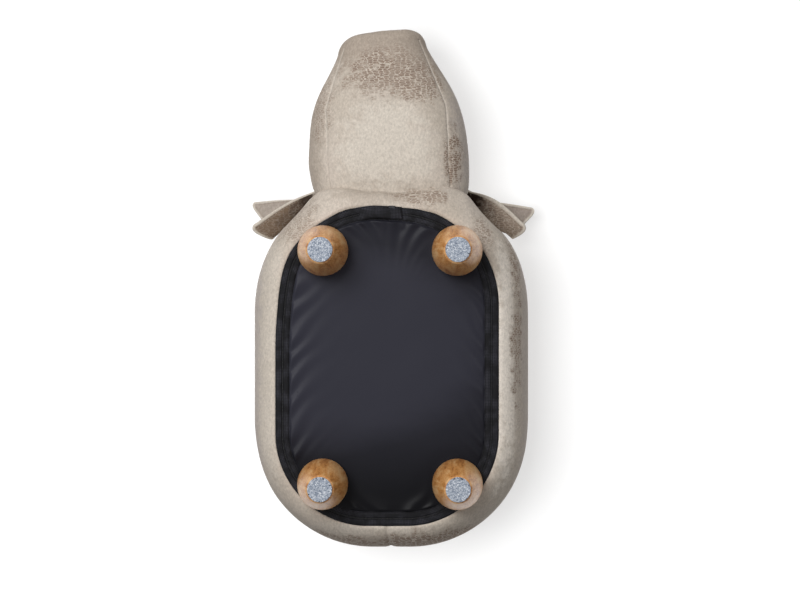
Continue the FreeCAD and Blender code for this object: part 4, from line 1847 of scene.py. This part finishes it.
# Painted cool shade on the outer sides of the body and on the right cheek.
PAINTED_COOL_SHADE = (
    Area((98, -185, 200), (45, 120, 100), 0.5),
    Area((172, 80, 175), (30, 260, 90), 0.4),
    Area((-172, 80, 175), (26, 260, 90), 0.6),
)
SMEARED = (
    Area((153, 60, 137), (12, 130, 45), 0.75),
    Area((10, -262, 136), (70, 34, 45), 0.3),
)
CRACKLED = (
    Area((1, -268, 138), (78, 46, 50), 0.6),
    Area((-24, -276, 140), (34, 30, 40)),
    Area((34, -256, 135), (44, 34, 40), 0.85),
    Area((76, -160, 150), (17, 48, 50)),
    Area((38, -114, 100), (42, 16, 26), 0.8),
    Area((-118, -85, 120), (40, 44, 60), 0.6),
    Area((151, 70, 135), (14, 180, 40)),
    Area((112, -62, 105), (20, 36, 30), 0.75),
    Area((50, 312, 130), (110, 20, 50)),
    Area((-60, 314, 135), (70, 16, 50), 0.85),
    Area((-85, -225, 155), (20, 60, 50), 0.5),
    Area((40, 50, 340), (120, 90, 50), 0.4),
    Area((-90, 230, 320), (90, 70, 60), 0.4),
    Area((0, -230, 300), (80, 50, 40), 0.5),
)
EAR_BACKS = (
    Area((-165, -105, 280), (55, 35, 22), 0.7),
    Area((165, -105, 280), (55, 35, 22)),
)
# Painted shade on the near lobes, which face away from the light.
EAR_FRONT_SHADE = (
    Area((-138, -88, 244), (70, 60, 26)),
    Area((138, -88, 244), (70, 60, 26), 0.65),
)
# Painted shadow at the ear roots, between each ear and the shoulder.
EAR_ROOT_SHADOW = (
    Area((-108, -113, 250), (22, 18, 22), 0.9),
    Area((-121, -99, 250), (20, 18, 22), 0.8),
    Area((-134, -86, 250), (20, 16, 22), 0.45),
    Area((106, -113, 250), (22, 18, 22)),
    Area((119, -99, 250), (20, 18, 22), 0.7),
    Area((131, -86, 250), (20, 16, 22), 0.35),
)
EAR_CRACKLED = (
    Area((148, -85, 243), (55, 50, 24), 0.5),
    Area((-148, -85, 243), (55, 50, 24), 0.25),
)
# Ear tones: greyer on the upper lobes, painted shade on the near lobes and painted shadow at the roots.
EAR_STAINS_AND_SHADE = (("9d9188", EAR_BACKS), ("746150", EAR_FRONT_SHADE), ("2a1c14", EAR_ROOT_SHADOW))


@dataclass(frozen=True)
class DistressedLeather:
    """Faux leather, coated and stretched: matte, cloudy and crackled in places, with painted light and shade
    in areas and a painted highlight on seam ridges and ear rims.
    """

    name: str = "distressed_faux_leather"
    # Tones laid over given areas in order: tones of the leather, and painted light and shade.
    stains_and_painted_light: tuple[tuple[str, tuple[Area, ...]], ...] = (
        ("cdc4b8", PALE), ("dfd6cb", PAINTED_RIM_LIGHT), ("a99c8f", TAUPE), ("b4aba7", PAINTED_COOL_SHADE), ("857568", SMEARED))
    crackled: tuple[Area, ...] = CRACKLED
    ground: str = "bdb2a5"
    cloud: str = "c7bcb0"
    # Colour of the painted highlight on seam ridges and ear rims.
    rubbed: str = "cdc4b8"
    net: str = "cabfb2"
    rim: str = "a99c8f"
    scale: str = "877466"
    cloud_size: float = 60.0 * MM
    ragged_size: float = 11.0 * MM
    ragged: float = 0.28
    grain_size: float = 1.9 * MM
    grain_stretch: Triple = (0.8, 0.5, 0.6)
    scale_size: float = 2.4 * MM
    scale_stretch: Triple = (0.36, 1.0, 0.36)
    bend_size: float = 6.0 * MM
    bend: Triple = (1.8 * MM, 1.0 * MM, 1.0 * MM)
    relief: float = 0.3 * MM
    roughness: float = 0.7
    specular: float = 0.15

    def material(self) -> Material:
        """Builds the material.

        Returns:
            The material.
        """
        material, tree, shader = new_material(self.name)
        place = add_node(tree, "TexCoord").outputs["Object"]
        rough = add_node(tree, "TexNoise", {"Vector": place, "Scale": 1 / self.ragged_size, "Detail": 4.0,
                                            "Roughness": 0.65})
        ragged = add_node(tree, "MapRange", {"Value": rough, "From Min": 0.3, "From Max": 0.7,
                                             "To Min": -self.ragged, "To Max": self.ragged})
        clouds = add_node(tree, "TexNoise", {"Vector": place, "Scale": 1 / self.cloud_size, "Detail": 5.0,
                                             "Roughness": 0.6})
        tone = add_node(tree, "ValToRGB", {"Fac": clouds}, [(0.4, self.ground), (0.6, self.cloud)])
        for colour, areas in self.stains_and_painted_light:
            tone = blend(tree, spread(tree, place, areas, ragged), tone, linear(colour))
        bends = add_node(tree, "TexNoise", {"Vector": place, "Scale": 1 / self.bend_size}).outputs["Color"]
        bent = add_node(tree, "VectorMath", {0: bends, 1: self.bend, 2: place}, operation="MULTIPLY_ADD")
        stretched = add_node(tree, "Mapping", {"Vector": bent, "Scale": self.scale_stretch})
        cells = add_node(tree, "TexVoronoi", {"Vector": stretched, "Scale": 1 / self.scale_size,
                                              "Randomness": 0.7}, feature="DISTANCE_TO_EDGE")
        scales = add_node(tree, "ValToRGB", {"Fac": cells},
                          [(0.03, self.net), (0.12, self.scale), (0.07, self.rim)])
        patchy = add_node(tree, "MapRange", {"Value": rough, "From Min": 0.75, "From Max": 0.49})
        cracked = spread(tree, place, self.crackled, ragged)
        share = add_node(tree, "Math", {0: cracked, 1: patchy}, operation="MULTIPLY")
        tone = blend(tree, share, tone, scales)
        # Painted highlight: paler where the points carry a share of it, on seam ridges and ear rims.
        edges = add_node(tree, "Attribute", attribute_name="rubbed").outputs["Fac"]
        tone = blend(tree, edges, tone, linear(self.rubbed))
        drawn = add_node(tree, "Mapping", {"Vector": bent, "Scale": self.grain_stretch})
        grain = add_node(tree, "TexNoise", {"Vector": drawn, "Scale": 1 / self.grain_size, "Detail": 3.0,
                                            "Roughness": 0.7})
        fine = add_node(tree, "MapRange", {"Value": grain, "From Min": 0.3, "From Max": 0.7, "To Min": 0.8,
                                           "To Max": 1.14})
        colour = add_node(tree, "VectorMath", {0: tone, 3: fine}, operation="SCALE")
        height = add_node(tree, "Math", {0: cells, 1: share, 2: grain}, operation="MULTIPLY_ADD")
        bump = add_node(tree, "Bump", {"Height": height, "Strength": 0.35, "Distance": self.relief})
        feed(tree, shader, {"Base Color": colour, "Normal": bump, "Roughness": self.roughness,
                            "Specular IOR Level": self.specular})
        return material


@dataclass(frozen=True)
class Grain:
    """A plain finish: two tones in a soft uneven pattern, with a sheen and a fine relief."""

    name: str
    dark: str
    light: str
    size: float
    stretch: Triple = (1.0, 1.0, 1.0)
    roughness: float = 0.5
    specular: float = 0.5
    metallic: float = 0.0
    relief: float = 0.0
    # Areas that get a lighter tone painted on, and that tone; only the nylon uses them, for its painted
    # sheen.
    painted_sheen: tuple[Area, ...] = ()
    painted_sheen_tone: str = ""

    def material(self) -> Material:
        """Builds the material.

        Returns:
            The material.
        """
        material, tree, shader = new_material(self.name)
        place = add_node(tree, "TexCoord").outputs["Object"]
        mapped = add_node(tree, "VectorMath", {0: place, 1: self.stretch}, operation="MULTIPLY")
        pattern = add_node(tree, "TexNoise", {"Vector": mapped, "Scale": 1 / self.size, "Detail": 4.0,
                                              "Roughness": 0.65})
        tone = add_node(tree, "ValToRGB", {"Fac": pattern}, [(0.35, self.dark), (0.65, self.light)])
        # Painted sheen over the areas, with a ragged border.
        if self.painted_sheen:
            ragged = add_node(tree, "MapRange", {"Value": pattern, "To Min": -0.1, "To Max": 0.1})
            tone = blend(tree, spread(tree, place, self.painted_sheen, ragged), tone, linear(self.painted_sheen_tone))
        feed(tree, shader, {"Base Color": tone, "Roughness": self.roughness, "Metallic": self.metallic,
                            "Specular IOR Level": self.specular})
        if self.relief:
            bump = add_node(tree, "Bump", {"Height": pattern, "Strength": 0.5, "Distance": self.relief})
            feed(tree, shader, {"Normal": bump})
        return material


@dataclass(frozen=True)
class WovenTape:
    """Black polyester tape: matte, with the slanted dots of its twill weave."""

    name: str = "black_zip_tape"
    ground: str = "0c0c0e"
    thread: str = "36363d"
    dot_size: float = 1.3 * MM
    patch_size: float = 14.0 * MM
    roughness: float = 0.75
    specular: float = 0.15

    def material(self) -> Material:
        """Builds the material; the dots are drawn coarser than the real weave, so that they show.

        Returns:
            The material.
        """
        material, tree, shader = new_material(self.name)
        place = add_node(tree, "TexCoord").outputs["UV"]
        turned = add_node(tree, "Mapping", {"Vector": place, "Rotation": (0.0, 0.0, math.radians(45))})
        dots = add_node(tree, "TexChecker", {"Vector": turned, "Scale": 1 / self.dot_size}).outputs["Fac"]
        patches = add_node(tree, "TexNoise", {"Vector": place, "Scale": 1 / self.patch_size, "Detail": 2.0})
        seen = add_node(tree, "MapRange", {"Value": patches, "From Min": 0.4, "From Max": 0.65,
                                           "To Min": 0.12})
        share = add_node(tree, "Math", {0: dots, 1: seen}, operation="MULTIPLY")
        feed(tree, shader, {"Base Color": blend(tree, share, linear(self.ground), linear(self.thread)),
                            "Roughness": self.roughness, "Specular IOR Level": self.specular})
        return material


@dataclass(frozen=True)
class Hardwood:
    """Clear-varnished pale hardwood: warm, with rings and streaks along the leg under a satin coat."""

    name: str
    axis: Pair
    pale: str = "dab27f"
    amber: str = "c28748"
    brown: str = "8c521d"
    ring_size: float = 9.0 * MM
    streak_size: float = 1.6 * MM
    pith: Pair = (9.0 * MM, -14.0 * MM)
    lean: Pair = (math.radians(7.0), math.radians(-5.0))
    stretch: float = 0.1
    roughness: float = 0.5
    specular: float = 0.2
    coat: float = 0.8
    coat_roughness: float = 0.3

    def material(self) -> Material:
        """Builds the material, with the pattern centred near the leg's axis.

        Returns:
            The material.
        """
        material, tree, shader = new_material(self.name)
        place = add_node(tree, "TexCoord").outputs["Object"]
        centre = (self.axis[0] + self.pith[0], self.axis[1] + self.pith[1], 0.0)
        moved = add_node(tree, "VectorMath", {0: place, 1: centre}, operation="SUBTRACT")
        tilted = add_node(tree, "Mapping", {"Vector": moved, "Rotation": (*self.lean, 0.0),
                                            "Scale": (1.0, 1.0, self.stretch)})
        figure = add_node(tree, "TexNoise", {"Vector": tilted, "Scale": 1 / self.ring_size, "Detail": 2.0,
                                             "Distortion": 0.6})
        streaks = add_node(tree, "TexNoise", {"Vector": tilted, "Scale": 1 / self.streak_size, "Detail": 4.0,
                                              "Roughness": 0.6})
        mixed = add_node(tree, "Mix", {"Factor": 0.45, "A": figure, "B": streaks})
        tone = add_node(tree, "ValToRGB", {"Fac": mixed},
                        [(0.36, self.brown), (0.64, self.pale), (0.48, self.amber)])
        feed(tree, shader, {"Base Color": tone, "Roughness": self.roughness, "Coat Weight": self.coat,
                            "Specular IOR Level": self.specular, "Coat Roughness": self.coat_roughness})
        return material


@dataclass(frozen=True)
class NeedleFelt:
    """Blue-grey needle felt: fibres of three tones, matted together, with no shine."""

    name: str = "grey_felt"
    dark: str = "626b7a"
    middle: str = "98a1af"
    white: str = "f0f2f5"
    fibre_size: float = 1.6 * MM
    swirl_size: float = 3.5 * MM
    swirl: float = 5.0 * MM
    relief: float = 0.5 * MM
    roughness: float = 0.95
    specular: float = 0.05

    def material(self) -> Material:
        """Builds the material; fibres are drawn coarser than real ones, so that they show.

        Returns:
            The material.
        """
        material, tree, shader = new_material(self.name)
        place = add_node(tree, "TexCoord").outputs["Object"]
        swirls = add_node(tree, "TexNoise", {"Vector": place, "Scale": 1 / self.swirl_size, "Detail": 2.0})
        pushed = add_node(tree, "VectorMath", {0: swirls.outputs["Color"], 1: (self.swirl,) * 3, 2: place},
                          operation="MULTIPLY_ADD")
        fibres = add_node(tree, "TexNoise", {"Vector": pushed, "Scale": 1 / self.fibre_size, "Detail": 3.0,
                                             "Roughness": 0.7})
        tone = add_node(tree, "ValToRGB", {"Fac": fibres},
                        [(0.33, self.dark), (0.68, self.white), (0.5, self.middle)])
        bump = add_node(tree, "Bump", {"Height": fibres, "Strength": 0.6, "Distance": self.relief})
        feed(tree, shader, {"Base Color": tone, "Normal": bump, "Roughness": self.roughness,
                            "Specular IOR Level": self.specular})
        return material


# Painted sheen: a lighter grey on the middle of the nylon panel, darker towards its ends.
PAINTED_SHEEN_AREAS = (Area((-10, 50, 90), (300, 220, 90), 0.5), Area((-60, 70, 90), (270, 170, 90)))
# Woven nylon, pressed smooth: nearly black with a soft broad sheen, and a painted sheen of lighter grey in
# its middle.
NYLON = Grain("black_nylon", "08080b", "0c0c10", 60 * MM, (0.4, 1.0, 1.0), roughness=0.38, specular=0.075,
              painted_sheen=PAINTED_SHEEN_AREAS, painted_sheen_tone="2f2f38")
# Moulded polyester: black, with a slight gloss on each tooth.
COIL = Grain("black_zip_coil", "0c0c0d", "18181a", 5 * MM, roughness=0.4, specular=0.3)
# Embossed faux leather: brown, half matte, with a pebbled skin.
DARK_LEATHER = Grain("dark_faux_leather", "57493f", "75665a", 6 * MM, roughness=0.55, relief=0.2 * MM)
# Moulded and polished plastic: black, with sharp highlights.
BUTTON = Grain("black_button", "0b0a0a", "141313", 9 * MM, roughness=0.12)
# Spun cotton: matte, a little darker than the leather it holds.
COTTON = Grain("stitching_thread", "8d7f72", "b3a698", 2 * MM, roughness=0.8, specular=0.1)
# Die-cast and black-plated: a dark metal with a dull shine.
BLACK_ZINC = Grain("black_zinc", "1a1a1c", "2c2c2f", 4 * MM, roughness=0.35, metallic=0.8)
# Zinc-plated steel: a bright grey metal, faintly clouded.
ZINC_STEEL = Grain("zinc_steel", "8f9296", "b9bcc0", 6 * MM, roughness=0.3, metallic=1.0)
# Rotary-cut birch: pale, with long soft figure and layered edges.
PLYWOOD = Grain("birch_plywood", "c9a878", "e2c69b", 9 * MM, (0.15, 1.0, 4.0), roughness=0.65)
# Pressed wood fibre: dark brown, matte and finely mottled.
HARDBOARD = Grain("hardboard", "5f452c", "7a5b3c", 2 * MM, roughness=0.8)
# Sawn softwood: yellow, with streaks that run upright.
PINE = Grain("pine", "c99a5e", "e6c48c", 7 * MM, (1.0, 1.0, 0.1), roughness=0.6)

# Solids that are shown as they come from the frame, by their finish.
INNER_NODES = {
    PLYWOOD: ("base_board", "seat_board", "neck_board"),
    HARDBOARD: ("frame_wrap",),
    PINE: ("front_left_post", "front_right_post", "rear_left_post", "rear_right_post", "front_rail"),
    ZINC_STEEL: ("frame_screws", "tee_nuts",
                 *(name + part for name in LEGS for part in ("_hanger_bolt", "_lock_washer"))),
    BLACK_ZINC: ("zip_slider",),
}


def dress_nodes() -> None:
    """Gives the solids that stay in view their finishes."""
    for finish, names in INNER_NODES.items():
        material = finish.material()
        for name in names:
            set_material(bpy.data.objects[name], material)
    for name in LEGS:
        wood = Hardwood("varnished_hardwood_" + name, leg_axis(name)).material()
        set_material(bpy.data.objects[name + "_leg"], wood)


@dataclass(frozen=True)
class Studio:
    """Camera over the underside, soft lamps and white planes that catch the shadow."""

    camera_place: Triple = (0.049, 0.0, -2.6)
    camera_target: Triple = (0.0105, 0.0158, 0.205)
    lens_mm: float = 98.3
    sensor_mm: float = 36.0
    lamp_target: Triple = (0.0, 0.0, 0.2)
    backdrop_z: float = 0.346
    plane_half: float = 6.0
    white_from: Pair = (0.7, 2.4)
    ambient: Pair = (0.58, 0.14)

    def camera(self) -> None:
        """Places the camera, with the snout at the top of the picture."""
        data = bpy.data.cameras.new("camera")
        data.lens = self.lens_mm
        data.sensor_width = self.sensor_mm
        data.clip_end = 100.0
        camera = bpy.data.objects.new("camera", data)
        bpy.context.scene.collection.objects.link(camera)
        place = Vector(self.camera_place)
        ahead = (Vector(self.camera_target) - place).normalized()
        right = ahead.cross(Vector((0.0, -1.0, 0.0))).normalized()
        turn = Matrix((right, right.cross(ahead), -ahead)).transposed()
        camera.matrix_world = Matrix.Translation(place) @ turn.to_4x4()
        bpy.context.scene.camera = camera

    def lamp(self, name: str, place: Triple, size: float, watts: float) -> Piece:
        """Adds a soft square lamp that points at the stool.

        Args:
            name: Name of the lamp.
            place: Its place.
            size: Length of its sides.
            watts: Its power.

        Returns:
            The lamp.
        """
        data = bpy.data.lights.new(name, "AREA")
        data.size = size
        data.energy = watts
        lamp = bpy.data.objects.new(name, data)
        bpy.context.scene.collection.objects.link(lamp)
        lamp.location = place
        lamp.rotation_mode = "QUATERNION"
        lamp.rotation_quaternion = (Vector(self.lamp_target) - Vector(place)).to_track_quat("-Z", "Y")
        return lamp

    @staticmethod
    def link(lamp: Piece, plane: Piece, lit: bool) -> None:
        """Lets a lamp light one plane only, or everything but that plane.

        Args:
            lamp: The lamp.
            plane: The plane.
            lit: Whether the plane is what it lights.
        """
        group = bpy.data.collections.new(lamp.name + "_group")
        group.objects.link(plane)
        group.collection_objects[0].light_linking.link_state = "INCLUDE" if lit else "EXCLUDE"
        lamp.light_linking.receiver_collection = group

    def paper(self, name: str, grey: float, glow: float) -> Material:
        """White paper that is seen from its front only and glows enough to be white outside the shadow.

        Args:
            name: Name of the material.
            grey: How much of the light it gives back.
            glow: How much it glows near the stool; far off it is white by itself.

        Returns:
            The material.
        """
        material, tree, shader = new_material(name)
        place = add_node(tree, "TexCoord").outputs["Object"]
        away = add_node(tree, "VectorMath", {0: place}, operation="LENGTH")
        white = add_node(tree, "MapRange", {"Value": away, "From Min": self.white_from[0],
                                            "From Max": self.white_from[1], "To Min": glow, "To Max": 1.0})
        feed(tree, shader, {"Base Color": (grey, grey, grey, 1.0), "Roughness": 1.0,
                            "Specular IOR Level": 0.0, "Emission Color": WHITE, "Emission Strength": white})
        back = add_node(tree, "NewGeometry").outputs["Backfacing"]
        mixed = add_node(tree, "MixShader", {0: back, 1: shader, 2: add_node(tree, "BsdfTransparent")})
        feed(tree, tree.nodes["Material Output"], {"Surface": mixed})
        return material

    def plane(self, name: str, level: float, up: bool, material: Material) -> Piece:
        """Adds a wide plane that only the camera sees and that faces up or down.

        Args:
            name: Name of the plane.
            level: Its height.
            up: Whether it faces up.
            material: Its finish.

        Returns:
            The plane.
        """
        bpy.ops.object.select_all(action="DESELECT")
        bpy.ops.mesh.primitive_plane_add(size=2 * self.plane_half, location=(0.0, 0.0, level),
                                         rotation=(0.0 if up else math.pi, 0.0, 0.0))
        plane = bpy.context.object
        plane.name = name
        for ray in ("shadow", "diffuse", "glossy", "transmission"):
            setattr(plane, "visible_" + ray, False)
        plane.data.materials.append(material)
        return plane

    def world(self) -> None:
        """White surroundings: full where they are seen or mirrored, softer as light, least from behind."""
        world = bpy.data.worlds.new("studio")
        bpy.context.scene.world = world
        world.use_nodes = True
        tree = world.node_tree
        tree.nodes.clear()
        path = add_node(tree, "LightPath").outputs
        clear = path["Is Camera Ray"]
        for kind in ("Is Glossy Ray", "Is Transmission Ray"):
            clear = add_node(tree, "Math", {0: clear, 1: path[kind]}, operation="MAXIMUM")
        way = add_node(tree, "SeparateXYZ", {"Vector": add_node(tree, "TexCoord").outputs["Generated"]})
        soft = add_node(tree, "MapRange", {"Value": way.outputs["Y"], "From Min": -1.0,
                                           "To Min": self.ambient[0], "To Max": self.ambient[1]})
        strength = add_node(tree, "Mix", {"Factor": clear, "A": soft, "B": 1.0})
        sky = add_node(tree, "Background", {"Color": WHITE, "Strength": strength})
        add_node(tree, "OutputWorld", {"Surface": sky})

    def build(self) -> None:
        """Sets up camera, world, lamps and planes."""
        bpy.context.scene.view_settings.view_transform = "Standard"
        self.camera()
        self.world()
        backing = self.paper("backdrop_paper", grey=0.4, glow=0.58)
        backdrop = self.plane("backdrop", self.backdrop_z, False, backing)
        self.plane("floor", 0.0, True, self.paper("floor_paper", grey=0.6, glow=0.36))
        key = self.lamp("key_below", (-0.8, -0.75, -2.2), size=1.1, watts=48.0)
        self.link(key, backdrop, lit=False)
        side = self.lamp("side_lamp", (-0.55, -0.05, -2.5), size=1.0, watts=90.0)
        self.link(side, backdrop, lit=True)
        self.lamp("key_above", (-0.15, -0.15, 2.9), size=1.4, watts=62.0)


def main() -> None:
    """Builds the stool's pieces in order."""
    logging.basicConfig(level=logging.INFO, format="%(name)s %(message)s")
    leather = DistressedLeather().material()
    body = BodyForm()
    head = HeadForm()
    cover = Cover(body, head)
    cover.build(leather)
    HeadCover(head, body, cover).build(leather)
    cotton = COTTON.material()
    ear_leather = DistressedLeather("distressed_faux_leather_ear", EAR_STAINS_AND_SHADE, EAR_CRACKLED).material()
    right_ear = Ear("right", near_tip=(0.1805, -0.0775, 0.2385), near_bulge=9.0 * MM, fold_bulge=-10.0 * MM,
                    far_tip=(0.1935, -0.1045, 0.2835))
    for ear in (Ear("left"), right_ear):
        ear.build(ear_leather, cotton)
    Tail().build(leather)
    face = Face(head)
    face.nostrils(DARK_LEATHER.material())
    button = BUTTON.material()
    for side in SIDES:
        face.eye(side, button)
    Underside(body).build(NYLON.material(), WovenTape().material(), COIL.material())
    felt = NeedleFelt().material()
    for name in LEGS:
        FeltPad(name).build(felt)
    dress_nodes()
    Studio().build()


if __name__ == "__main__":
    main()
